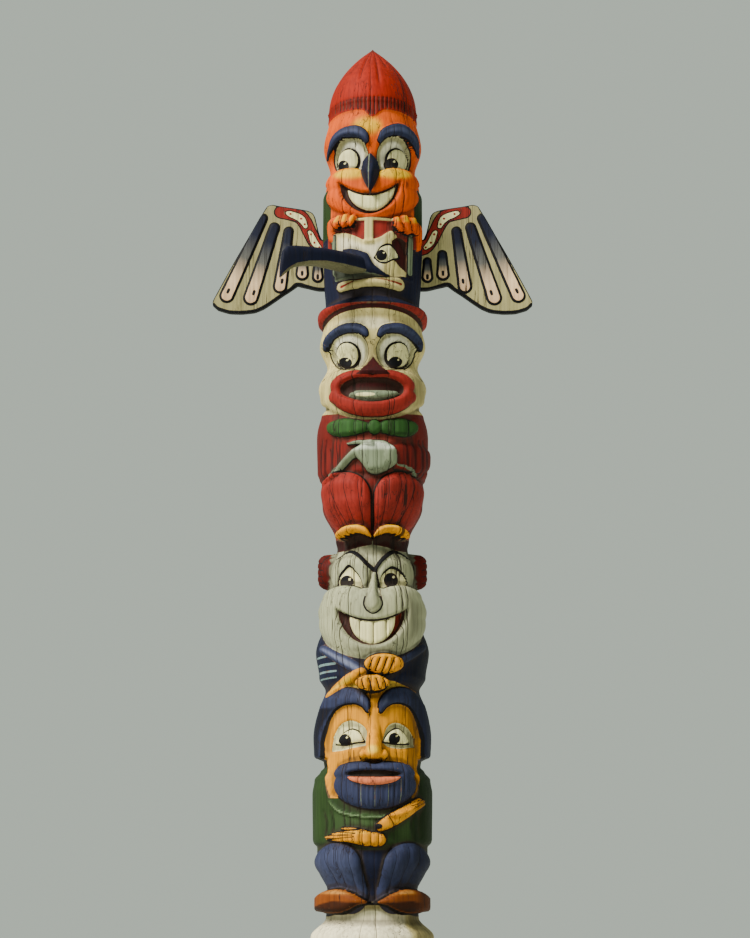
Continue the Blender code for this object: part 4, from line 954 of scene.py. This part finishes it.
def hood(log):
    """The turned cone with its folds, and a ribbed band under it."""
    x, side, z = log.x, log.side, log.tipped(0.22)
    dip = 0.056 * np.exp(-((x / 0.05) ** 2)) * (log.front > 0)
    low = 6.308 - dip - 0.040 * (side / .29) ** 4
    high = 6.412 - 0.035 * (side / .28) ** 3
    log.paint("hood", low - z)
    for turn, reach in ((-1.3, .30), (-.75, .30), (-.32, .36), (-.12, .22), (.16, .40), (.5, .25),
                        (1.0, .30), (1.7, .28), (2.6, .30), (-2.2, .30)):
        off = log.turned_from(turn) * log.r
        fade = ease((log.z - (DRAWN_HEIGHT - reach)) / 0.1) * ease((DRAWN_HEIGHT - log.z) / 0.04)
        log.r = log.r - 0.010 * np.minimum(log.r / .15, 1) * np.exp(-((off / 0.012) ** 2)) * fade
        log.line(off, fade > .35, width=0.0015)
    knit = band(z, low, high)
    log.step(np.maximum(low - z, z - high + .03), 0.010, 0.02)
    rib = ribs(log.turn * .31, .030)
    log.r = log.r - 0.008 * np.exp(-((rib / 0.006) ** 2)) * ease(-knit / 0.02)
    # Painted shade over the ribbed band under the hood
    log.paint_light_and_tone(knit, -0.55, 0.02)
    log.paint("maroon", np.maximum(knit + .008, rib - .0045))

# %% [markdown]
# Drying cracks
#
# A log dries from the outside, so its skin splits along the grain. Each crack is a slightly wandering
# upright line with its own length; it is widest in the middle and fades out at both ends.

# %% Cracks
CRACKS = 90
CRACK_SEED = 11
CRACK_DEPTH = 0.004
CRACK_SLOPE = 0.005          # how far to each side the wood falls in
CRACK_REACH = 0.012          # beyond this the distance to a crack isn't kept


def crack(log):
    """Each crack keeps its distance sideways, and a width that falls from its middle to its ends."""
    random = np.random.default_rng(CRACK_SEED)
    for _ in range(CRACKS):
        turn = random.normal(0, 1.1)
        middle = random.uniform(0.25, 6.55)
        half_length = random.uniform(0.10, 0.62)
        widest = random.uniform(0.0012, 0.0032)
        wander = 0.006 * np.sin(log.z * random.uniform(4, 11) + random.uniform(0, 6))
        wander = wander + 0.0015 * np.sin(log.z * random.uniform(40, 70))
        aside = log.turned_from(turn) * log.bare - wander
        fade = np.sqrt(np.clip(1 - ((log.z - middle) / half_length) ** 2, 0, 1))
        nearer = (np.abs(aside) < np.abs(log.crack_aside)) & (fade > 0) & (np.abs(aside) < CRACK_REACH)
        log.crack_aside = np.where(nearer, aside, log.crack_aside)
        log.crack_width = np.where(nearer, widest * fade, log.crack_width)
        log.r = log.r - CRACK_DEPTH * fade * np.exp(-((aside / CRACK_SLOPE) ** 2))

# %% [markdown]
# From arrays to a mesh
#
# The grid is closed round the log, its columns crowd together at the front, where the carving is, and
# its rows crowd together over the figures. A fan closes each end.

# %% Grid helpers
def closed_skin(name, points):
    """points[row, column] runs round in its columns and along in its rows; a fan closes each end."""
    rows, columns, _ = points.shape
    row, column = np.meshgrid(np.arange(rows - 1), np.arange(columns), indexing="ij")
    first = row * columns + column
    second = row * columns + (column + 1) % columns
    quads = np.stack([first, second, second + columns, first + columns], axis=-1).reshape(-1, 4)
    ring = np.arange(columns)
    last = (rows - 1) * columns
    low_centre, high_centre = rows * columns, rows * columns + 1
    low_fan = np.stack([np.roll(ring, -1), ring, np.full(columns, low_centre)], axis=-1)
    high_fan = np.stack([last + ring, last + np.roll(ring, -1), np.full(columns, high_centre)], axis=-1)
    centres = np.stack([points[0].mean(axis=0), points[-1].mean(axis=0)])
    mesh = bpy.data.meshes.new(name)
    mesh.from_pydata(np.vstack([points.reshape(-1, 3), centres]).tolist(), [],
                     quads.tolist() + low_fan.tolist() + high_fan.tolist())
    mesh.shade_smooth()
    piece = bpy.data.objects.new(name, mesh)
    bpy.context.scene.collection.objects.link(piece)
    return piece


def keep(piece, name, values, flip=False):
    """Stores one number for each grid point; the two centres of the end fans take their row's mean."""
    values = values[:, ::-1] if flip else values
    flat = np.concatenate([values.ravel(), [values[0].mean(), values[-1].mean()]])
    piece.data.attributes.new(name, "FLOAT", "POINT").data.foreach_set("value", flat.astype(np.float32))


def keep_paint(piece, drawn, flip=False):
    """Stores the painter's distances on a mesh, for the colours that it uses."""
    for colour in drawn.used():
        keep(piece, "paint_" + colour, drawn.area[colour], flip)
    for name in ("rim_aside", "rim_width", "light_and_tone"):
        keep(piece, name, getattr(drawn, name), flip)


def blurred(values, reach):
    """A running mean over a few grid steps each way, round the columns and along the rows."""
    count = 2 * reach + 1
    for axis, mode in ((0, "edge"), (1, "wrap")):
        pads = [(0, 0), (0, 0)]
        pads[axis] = (reach + 1, reach)
        sums = np.cumsum(np.pad(values, pads, mode=mode), axis=axis)
        length = sums.shape[axis]
        upper = np.take(sums, np.arange(count, length), axis=axis)
        values = (upper - np.take(sums, np.arange(length - count), axis=axis)) / count
    return values

# %% Carve the log
COLUMNS = 152
FRONT_CROWDING = 0.48
# Heights where a run of rows starts and ends, and the distance between its rows
ROW_SPACINGS = ((0.0, 1.04, 0.0125), (1.04, 6.36, 0.0098), (6.36, 6.80, 0.0140))
HOLLOW_REACH = 4             # grid steps each way that a hollow is compared with
HOLLOW_DEPTH = 0.012         # deep enough to hold all the dust and painted shade
# From the ground up, so that upper figures overlap lower ones
CARVERS = (elder, thinker, thinker_coat, thinker_legs, thinker_hands, grinner_body, grinner,
           grinner_fists, clown_body, clown, clown_hands, clown_legs, raven, watchman, paws, hood, crack)

heights = np.concatenate([np.arange(low, high, step) for low, high, step in ROW_SPACINGS]
                         + [[DRAWN_HEIGHT]])
even = (np.arange(COLUMNS) / COLUMNS - 0.5) * 2 * pi
turn, drawn_z = np.meshgrid(even - FRONT_CROWDING * np.sin(even), heights)
log = Log(turn, drawn_z)
for carve in CARVERS:
    carve(log)
points = np.stack([log.r * np.sin(turn), -log.r * np.cos(turn), true_height(drawn_z)], axis=-1)
pole = closed_skin("carved_pole", points)
keep_paint(pole, log)
keep(pole, "crack_aside", log.crack_aside)
keep(pole, "crack_width", log.crack_width)
keep(pole, "hollow", np.clip((blurred(log.r, HOLLOW_REACH) - log.r) / HOLLOW_DEPTH, -1, 1))
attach(pole, "root")
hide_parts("pole")
print("pole grid", points.shape[:2], "triangles", 2 * points.shape[0] * COLUMNS)

# %% [markdown]
# The wings
#
# Each wing is a sawn board. Its front is a grid between the upper and the lower edge, from the root to
# the tip, and the same signed distances raise and paint the long feathers. The edges are eased, as a
# board's are before painting.

# %% Wing outline and feathers
BOARD_THICKNESS = 0.050
BOARD_EASING = 0.006         # taken off each face at the board's edges
EASED_STRIP = 0.008          # how wide the easing is
FEATHER_RELIEF = 0.008

# The board's upper and lower edge from the root to the tip
WING_TOP = [(.233, 5.431), (.337, 5.431), (.356, 5.477), (.382, 5.590), (.400, 5.620), (.432, 5.636),
            (.500, 5.650), (.618, 5.669), (.667, 5.678), (.701, 5.669), (.719, 5.642), (.896, 5.317),
            (1.000, 5.115), (1.053, 5.008), (1.053, 4.982)]
WING_FOOT = [(.233, 5.085), (.357, 5.085), (.426, 5.101), (.496, 5.119), (.537, 5.086), (.601, 5.042),
             (.658, 5.000), (.717, 4.960), (.775, 4.935), (.860, 4.925), (.942, 4.928), (1.018, 4.951),
             (1.053, 4.982)]
# The band's middle line with its half width
RED_BAND = [(.612, 5.625, .042), (.500, 5.600, .046), (.455, 5.560, .046), (.420, 5.490, .044),
            (.378, 5.412, .045), (.330, 5.375, .050), (.250, 5.370, .050)]
# Upper end, lower end, half width, dot
FEATHERS = [((.718, 5.610), (.978, 5.000), .046, (.948, 5.082)),
            ((.642, 5.548), (.816, 4.982), .048, (.780, 5.070)),
            ((.553, 5.520), (.616, 5.062), .044, (.596, 5.150)),
            ((.461, 5.356), (.466, 5.150), .041, (.465, 5.205)),
            ((.361, 5.305), (.362, 5.135), .035, (.362, 5.180))]
WHITE_PANELS = [[(.565, 5.618, .016), (.546, 5.612, .022), (.476, 5.579, .026), (.446, 5.525, .016)],
                [(.420, 5.485, .014), (.409, 5.469, .019), (.386, 5.411, .024), (.352, 5.376, .016)]]
RED_DOTS = [(.546, 5.612), (.476, 5.579), (.452, 5.540), (.409, 5.469), (.386, 5.411), (.352, 5.378)]
SPLITS = [[(.588, 5.665, .003), (.590, 5.620, .002), (.587, 5.560, .0005)],
          [(.700, 4.970, .003), (.698, 5.030, .0005)], [(.905, 4.930, .003), (.902, 4.985, .0005)]]
WING_ROWS = 150
WING_COLUMNS = 93


class Board(Painted):
    """A flat face in x and z: how far it stands proud, and how far down a feather each point lies."""

    def __init__(self, x, z):
        super().__init__(np.shape(z))
        self.x, self.z = x, z
        self.proud = np.zeros(np.shape(z))
        self.shade = np.zeros(np.shape(z))


def along_curve(points, count):
    """Points at even steps of arc length along a polyline, its corners slightly rounded."""
    corners = np.array(points)
    steps = np.concatenate([[0], np.cumsum(np.hypot(*np.diff(corners, axis=0).T))])
    even = np.linspace(0, steps[-1], count)
    line = np.stack([np.interp(even, steps, corners[:, 0]), np.interp(even, steps, corners[:, 1])],
                    axis=-1)
    inner = (line[:-2] + 2 * line[1:-1] + line[2:]) / 4
    return np.concatenate([line[:1], inner, line[-1:]])


def feather(board, upper, lower, half, dot):
    """A long round-ended drop, dark at the top and pale lower down, with a dark dot in its pale part."""
    (ax, az), (bx, bz) = upper, lower
    length = np.hypot(bx - ax, bz - az)
    dx, dz = (bx - ax) / length, (bz - az) / length
    along = (board.x - ax) * dx + (board.z - az) * dz
    shape = stroke(board.x, board.z, [(ax + dx * half * .7, az + dz * half * .7, half * .70),
                                      (bx - dx * half, bz - dz * half, half)])
    board.proud = board.proud + FEATHER_RELIEF * ease(-shape / 0.012)
    board.paint("plume", shape)
    board.shade = np.where(shape < 0.004, np.clip(along / length, 0, 1), board.shade)
    board.line(shape + 0.003, width=0.0085)
    board.paint("black", stroke(board.x, board.z,
                                [(*dot, .010), (dot[0] + .02 * dx, dot[1] + .02 * dz, .009)]))


def board_skin():
    """Front and back of the board as one closed grid: rows from root to tip, columns round the board."""
    top, foot = along_curve(WING_TOP, WING_ROWS), along_curve(WING_FOOT, WING_ROWS)
    rise = np.linspace(0, 1, WING_COLUMNS)
    share = np.concatenate([rise, [1.0], rise[::-4], [0.0]])
    face = np.concatenate([np.full(WING_COLUMNS, -1.0), [0.0], np.full(len(rise[::-4]), 1.0), [0.0]])
    flat = foot[:, None] + (top - foot)[:, None] * share[None, :, None]
    return flat[..., 0], flat[..., 1], np.broadcast_to(face, flat.shape[:2])


def painted_board(x, z):
    """The painted face: bare board, the red band with its panels and dots, feathers and splits."""
    board = Board(x, z)
    board.paint("board", np.full(np.shape(x), -FAR))
    # The board darker towards the tip
    board.paint_light_and_tone(.52 - x, -0.22, 0.5)
    red = stroke(x, z, RED_BAND, 40)
    board.paint("red", red)
    board.line(red, width=0.004)
    for points in WHITE_PANELS:
        panel = stroke(x, z, points)
        board.paint("white", panel)
        board.line(panel, width=0.0035)
    for cx, cz in RED_DOTS:
        board.paint("red", oval(x, z, cx, cz, 0.008, 0.008))
    for upper, lower, half, dot in FEATHERS:
        feather(board, upper, lower, half, dot)
    for points in SPLITS:
        board.paint("black", stroke(x, z, points))
    return board


def dressed_wing(name, side):
    """One wing, at the viewer's left (side -1) or right (side 1)."""
    x, z, face = board_skin()
    board = painted_board(x, z)
    upper_edge = stroke(x, z, [(px, pz, 0.0) for px, pz in WING_TOP], 80)
    lower_edge = stroke(x, z, [(px, pz, 0.0) for px, pz in WING_FOOT], 80)
    board.line(upper_edge - 0.003, width=0.0045)
    board.line(lower_edge - 0.006, width=0.010)
    near_edge = np.minimum(upper_edge, lower_edge)
    eased = BOARD_EASING * (1 - bulge(near_edge / EASED_STRIP))
    y = face * (BOARD_THICKNESS / 2 - eased) - np.where(face < 0, board.proud, 0)
    points = np.stack([side * x, y, true_height(z)], axis=-1)
    mirrored = side > 0
    wing = closed_skin(name + "_board", points[:, ::-1] if mirrored else points)
    keep_paint(wing, board, mirrored)
    keep(wing, "shade", board.shade, mirrored)
    keep(wing, "hollow", np.zeros(np.shape(x)))
    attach(wing, "root")
    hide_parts(name)
    print(name, "grid", points.shape[:2])
    return wing, board


wings = [dressed_wing("wing_left", -1), dressed_wing("wing_right", 1)]

# %% [markdown]
# The beak
#
# A beak is carved from its own block and housed in the face. It is a loft: at each station along it
# there is an upper edge, a lower edge and a width, and the tip turns down.

# %% Beak
BEAK_LENGTH = 0.806
BEAK_WIDTH = 0.150
BEAK_YAW = radians(52)
BEAK_START = (0.057, -0.188, true_height(5.1575))
BEAK_ROWS = 110
BEAK_COLUMNS = 72
TIP_CROWDING = 1.6           # above 1 the rows crowd together at the tip
# How full a section is: 1 is an oval and 0 a box
SIDE_FULLNESS = 0.75
TOP_FULLNESS = 0.9
FOOT_FULLNESS = 0.35
NAVY_REACH = 0.72            # the navy paint ends this far below the middle, in half heights
# Share of its length, upper edge, lower edge (shares of the length), width (share of BEAK_WIDTH)
BEAK_STATIONS = [(0.00, .072, -.072, 1.00), (0.43, .072, -.072, 1.00), (0.61, .062, -.077, 0.88),
                 (0.76, .045, -.107, 0.72), (0.87, .031, -.146, 0.52), (0.94, .010, -.202, 0.36),
                 (0.975, -.035, -.238, 0.24), (0.992, -.121, -.254, 0.16), (1.00, -.220, -.257, 0.10)]


def beak_surface():
    """Rounded-off boxes strung along the beak: turn goes round a section, along runs from root to tip."""
    stations, uppers, lowers, widths = np.array(BEAK_STATIONS).T
    turn, v = np.meshgrid(np.arange(BEAK_COLUMNS) / BEAK_COLUMNS * 2 * pi, np.linspace(0, 1, BEAK_ROWS))
    along = 1 - (1 - v) ** TIP_CROWDING
    upper = np.interp(along, stations, uppers) * BEAK_LENGTH
    lower = np.interp(along, stations, lowers) * BEAK_LENGTH
    half = np.interp(along, stations, widths) * BEAK_WIDTH / 2
    across = half * np.copysign(np.abs(np.cos(turn)) ** SIDE_FULLNESS, np.cos(turn))
    fullness = np.where(np.sin(turn) > 0, TOP_FULLNESS, FOOT_FULLNESS)
    rise = np.copysign(np.abs(np.sin(turn)) ** fullness, np.sin(turn))
    z = (upper + lower) / 2 + (upper - lower) / 2 * rise
    out = along * BEAK_LENGTH
    x = BEAK_START[0] - out * sin(BEAK_YAW) + across * cos(BEAK_YAW)
    y = BEAK_START[1] - out * cos(BEAK_YAW) - across * sin(BEAK_YAW)
    return np.stack([x, y, z + BEAK_START[2]], axis=-1), along, rise


points, along, rise = beak_surface()
beak = closed_skin("carved_beak", points[:, ::-1])
side_board = Board(along, rise)
side_board.paint("navy", np.full(np.shape(rise), -FAR))
side_board.paint("olive", np.clip((rise + NAVY_REACH) * 0.05, -FAR, FAR))
# The navy a darker tone, less so next to the olive
side_board.paint_light_and_tone(np.clip((-NAVY_REACH - rise) * 0.05, -FAR, FAR), -0.35, 0.02)
keep_paint(beak, side_board, flip=True)
keep(beak, "hollow", np.zeros(np.shape(rise)))
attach(beak, "root")
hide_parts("beak")
print("beak reaches", round(float(points[..., 1].min()), 3), "in front of the axis")

# %% [markdown]
# Weathered paint on cedar
#
# Old outdoor paint isn't one colour: it fades in patches, it is thin on the ridges, the grain shows
# through it, and dust stays in the hollows, dark enough to be their painted shade as well. Soft painted
# highlights and painted shade lie on the forms. One material builder gives all of that to each piece,
# and the colours come from the painter's signed distances, so their edges stay crisp.

# %% Paint material
PAINTS = {
    "cream": (.500, .420, .170, 1), "white": (.700, .660, .330, 1), "hood": (.262, .0095, .0005, 1),
    "orange": (.600, .078, .0003, 1), "ochre": (.580, .230, .002, 1), "red": (.225, .016, .010, 1),
    "maroon": (.036, .003, .003, 1), "navy": (.005, .007, .023, 1), "blue": (.020, .025, .059, 1),
    "green": (.014, .032, .007, 1), "bow": (.019, .062, .012, 1), "black": (.003, .003, .004, 1),
    "grey": (.150, .185, .115, 1), "salmon": (.500, .130, .055, 1), "pale": (.145, .240, .245, 1),
    "stone": (.300, .310, .190, 1), "leather": (.135, .032, .002, 1), "wood": (.141, .077, .038, 1),
    "board": (.290, .262, .120, 1), "olive": (.110, .105, .055, 1),
}
ORANGE_HIGHLIGHT = (.640, .300, .0006, 1)     # painted highlight: what orange paint turns to where it is lightened most
BARE_WOOD = (.259, .146, .063, 1)
# Dust in the hollows, dark enough to be their painted shade as well
DUST_AND_SHADE = (.026, .017, .011, 1)
CRACK_DARK = (.010, .006, .004, 1)
PLUME_TONES = [(0.0, (.006, .007, .019, 1)), (0.24, (.010, .013, .028, 1)), (0.50, (.100, .100, .090, 1)),
               (0.76, (.62, .44, .26, 1)), (1.0, (.56, .36, .20, 1))]

PAINT_EDGE = 0.0012          # half the width over which one paint gives way to the next
LINE_EDGE = 0.0010           # the same for black lines and cracks
WOBBLE = 0.0052              # how far a hand-painted edge wanders
LIGHTENING = 0.55           # how far below 1 the strongest lightening, mostly a painted highlight, takes the power in the Gamma node
# These multiply the colour: the strongest darkening, mostly painted shade, then dull and bright patches,
# then the grain's streaks
DARKENING = (0.05, 0.04, 0.05, 1)
FADED = ((0.74, 0.74, 0.76, 1), (1.10, 1.08, 1.05, 1))
STREAKED = ((0.80, 0.79, 0.77, 1), (1.06, 1.06, 1.05, 1))
DUST_AND_SHADE_SHARE = 0.55
CRACK_SHARE = 0.88
SHEEN = 0.12                 # old matt paint hardly shines


class Recipe:
    """Builds one material; each method adds a node and returns the socket that its result comes from."""

    def __init__(self, name):
        self.material = bpy.data.materials.new(name)
        self.material.use_nodes = True
        self.tree = self.material.node_tree
        self.shader = self.tree.nodes["Principled BSDF"]
        self.shader.inputs["Specular IOR Level"].default_value = SHEEN

    def node(self, kind, inputs, output=0, **settings):
        """Any node: each of its inputs is linked, where it comes from another node, or else set."""
        made = self.tree.nodes.new("ShaderNode" + kind)
        for setting, value in settings.items():
            setattr(made, setting, value)
        for socket, value in inputs.items():
            if isinstance(value, bpy.types.NodeSocket):
                self.tree.links.new(value, made.inputs[socket])
            else:
                made.inputs[socket].default_value = value
        return made.outputs[output]

    def number(self, name):
        """A number that keep() stored on the mesh."""
        return self.node("Attribute", {}, "Fac", attribute_name=name)

    def math(self, operation, first, second=0.0, third=0.0):
        return self.node("Math", {0: first, 1: second, 2: third}, operation=operation)

    def fade(self, value, start, end):
        """0 below start and 1 beyond end, eased between them; start may be the larger one."""
        return self.node("MapRange", {"Value": value, "From Min": start, "From Max": end},
                         interpolation_type="SMOOTHSTEP")

    def mix(self, share, first, second, blend="MIX"):
        return self.node("Mix", {0: share, 6: first, 7: second}, 2, data_type="RGBA", blend_type=blend)

    def graded(self, value, tones):
        """Colours in steps of (share, colour), mixed between the steps."""
        made = self.tree.nodes.new("ShaderNodeValToRGB")
        self.tree.links.new(value, made.inputs["Fac"])
        stops = made.color_ramp.elements
        for share, tone in tones[1:-1]:
            stops.new(share)
        for stop, (share, tone) in zip(stops, tones):
            stop.position, stop.color = share, tone
        return made.outputs["Color"]

    def noise(self, stretch, detail=3.0, roughness=0.55, distortion=0.0):
        """Noise with so many lumps to the metre along x, y and z."""
        place = self.node("TexCoord", {}, "Object")
        scaled = self.node("Mapping", {"Vector": place, "Scale": stretch})
        inputs = {"Vector": scaled, "Scale": 1.0, "Detail": detail, "Roughness": roughness,
                  "Distortion": distortion}
        return self.node("TexNoise", inputs, "Fac")


def fields_of_paint(recipe, drawn, wobble):
    """Each paint inside its own outline, over bare wood."""
    colour = PAINTS["wood"]
    for paint in drawn.used():
        distance = recipe.math("ADD", recipe.number("paint_" + paint), wobble)
        inside = recipe.fade(distance, PAINT_EDGE, -PAINT_EDGE)
        if paint == "plume":
            fill = recipe.graded(recipe.number("shade"), PLUME_TONES)
        elif paint == "orange":
            # Orange turns yellow where a painted highlight lies on it
            fill = recipe.graded(recipe.number("light_and_tone"), [(0.0, PAINTS[paint]), (0.5, ORANGE_HIGHLIGHT)])
        else:
            fill = PAINTS[paint]
        colour = recipe.mix(inside, colour, fill)
    return colour


def light_tone_and_lines(recipe, colour, wobble):
    """Soft lighter and darker patches, mostly painted highlights and painted shade, with the black lines
    over them.
    """
    light_and_tone = recipe.number("light_and_tone")
    power = recipe.math("MULTIPLY_ADD", recipe.fade(light_and_tone, 0.0, 1.0), -LIGHTENING, 1.0)
    colour = recipe.node("Gamma", {"Color": colour, "Gamma": power}, "Color")
    darker = recipe.mix(1.0, colour, DARKENING, "MULTIPLY")
    colour = recipe.mix(recipe.fade(light_and_tone, 0.0, -1.0), colour, darker)
    aside = recipe.math("ABSOLUTE", recipe.math("ADD", recipe.number("rim_aside"), wobble))
    outside = recipe.math("SUBTRACT", aside, recipe.number("rim_width"))
    return recipe.mix(recipe.fade(outside, LINE_EDGE, -LINE_EDGE), colour, PAINTS["black"])


def aged(recipe, colour, grain, patches, flakes):
    """Fading in patches, streaks along the grain, bare wood on the ridges, and dust in the hollows that
    is their painted shade as well.
    """
    tone = recipe.mix(recipe.fade(patches, 0.25, 0.75), *FADED)
    colour = recipe.mix(1.0, colour, tone, "MULTIPLY")
    streaks = recipe.mix(recipe.fade(grain, 0.35, 0.62), *STREAKED)
    colour = recipe.mix(1.0, colour, streaks, "MULTIPLY")
    hollow = recipe.number("hollow")
    ridge = recipe.math("MULTIPLY_ADD", hollow, -0.10, flakes)
    worn = recipe.fade(recipe.math("MULTIPLY_ADD", patches, 0.25, ridge), 0.90, 0.95)
    colour = recipe.mix(worn, colour, BARE_WOOD)
    dust_and_shade = recipe.fade(recipe.math("MULTIPLY_ADD", flakes, 0.35, hollow), 0.25, 1.05)
    return recipe.mix(recipe.math("MULTIPLY", dust_and_shade, DUST_AND_SHADE_SHARE), colour, DUST_AND_SHADE)


def splits(recipe, cracked):
    """1 in a split and 0 beside it: fine ones anywhere, and the log's own cracks where it has them."""
    split = recipe.noise((26, 26, 0.75), 3, 0.5, 0.2)
    hairline = recipe.fade(recipe.math("ABSOLUTE", recipe.math("SUBTRACT", split, 0.5)), 0.011, 0.004)
    here_and_there = recipe.fade(recipe.noise((7, 7, 2.5), 2), 0.42, 0.58)
    hairline = recipe.math("MULTIPLY", hairline, here_and_there)
    if cracked:
        aside = recipe.math("ABSOLUTE", recipe.number("crack_aside"))
        outside = recipe.math("SUBTRACT", aside, recipe.number("crack_width"))
        hairline = recipe.math("MAXIMUM", hairline, recipe.fade(outside, LINE_EDGE, -LINE_EDGE))
    return hairline


def weathered_paint(name, piece, drawn, cracked=False):
    """Old paint on one piece: colours, painted light and lines, then wear and dust that is also painted
    shade, then splits and a rough grain.
    """
    recipe = Recipe(name)
    grain = recipe.noise((55, 55, 2.2), 6)
    patches = recipe.noise((2.6, 2.6, 1.7), 3)
    flakes = recipe.noise((75, 75, 20), 5, 0.7)
    lumps = recipe.noise((34, 34, 22), 2)
    wobble = recipe.math("MULTIPLY_ADD", lumps, WOBBLE, -WOBBLE / 2)
    colour = fields_of_paint(recipe, drawn, wobble)
    colour = light_tone_and_lines(recipe, colour, wobble)
    colour = aged(recipe, colour, grain, patches, flakes)
    hairline = splits(recipe, cracked)
    colour = recipe.mix(recipe.math("MULTIPLY", hairline, CRACK_SHARE), colour, CRACK_DARK)
    height = recipe.math("MULTIPLY_ADD", grain, 0.5, recipe.math("MULTIPLY", flakes, 0.35))
    height = recipe.math("SUBTRACT", height, hairline)
    bump = recipe.node("Bump", {"Height": height, "Strength": 0.55, "Distance": 0.003}, "Normal")
    rough = recipe.math("MULTIPLY_ADD", flakes, 0.25, 0.58)
    for socket, result in (("Base Color", colour), ("Normal", bump), ("Roughness", rough)):
        recipe.tree.links.new(result, recipe.shader.inputs[socket])
    piece.data.materials.append(recipe.material)
    print(name, "paints", drawn.used(), "nodes", len(recipe.tree.nodes))


weathered_paint("painted_cedar", pole, log, cracked=True)
for wing, board in wings:
    weathered_paint("painted_board", wing, board)
weathered_paint("painted_beak", beak, side_board)

# %% [markdown]
# A pale studio
#
# One soft sun from the upper left gives the shadows under the brows and chins; the pale surroundings
# fill the rest.

# %% Floor, light and sizes
FLOOR_CORNERS = [(-30, -20, 0), (30, -20, 0), (30, 40, 0), (-30, 40, 0)]
FLOOR_COLOUR = (.60, .62, .55, 1)
FLOOR_ROUGHNESS = 0.62
SUN_STRENGTH = 8.5
SUN_WIDTH = radians(24)              # the wider the sun, the softer its shadows
SUN_COLOUR = (1.0, 0.97, 0.92)
SUN_DIRECTION = (radians(48), 0, radians(-50))
ROOM_COLOUR = (0.80, 0.90, 0.78, 1)
ROOM_STRENGTH = 0.62

floor_mesh = bpy.data.meshes.new("floor")
floor_mesh.from_pydata(FLOOR_CORNERS, [], [(0, 1, 2, 3)])
floor = bpy.data.objects.new("floor", floor_mesh)
bpy.context.scene.collection.objects.link(floor)
floor_recipe = Recipe("pale_floor")
floor_recipe.shader.inputs["Base Color"].default_value = FLOOR_COLOUR
floor_recipe.shader.inputs["Roughness"].default_value = FLOOR_ROUGHNESS
floor_mesh.materials.append(floor_recipe.material)

sun_data = bpy.data.lights.new("soft_sun", "SUN")
sun_data.energy = SUN_STRENGTH
sun_data.angle = SUN_WIDTH
sun_data.color = SUN_COLOUR
sun = bpy.data.objects.new("soft_sun", sun_data)
sun.rotation_euler = SUN_DIRECTION
bpy.context.scene.collection.objects.link(sun)

world = bpy.data.worlds.new("pale_room")
bpy.context.scene.world = world
world.use_nodes = True
background = world.node_tree.nodes["Background"]
background.inputs["Color"].default_value = ROOM_COLOUR
background.inputs["Strength"].default_value = ROOM_STRENGTH
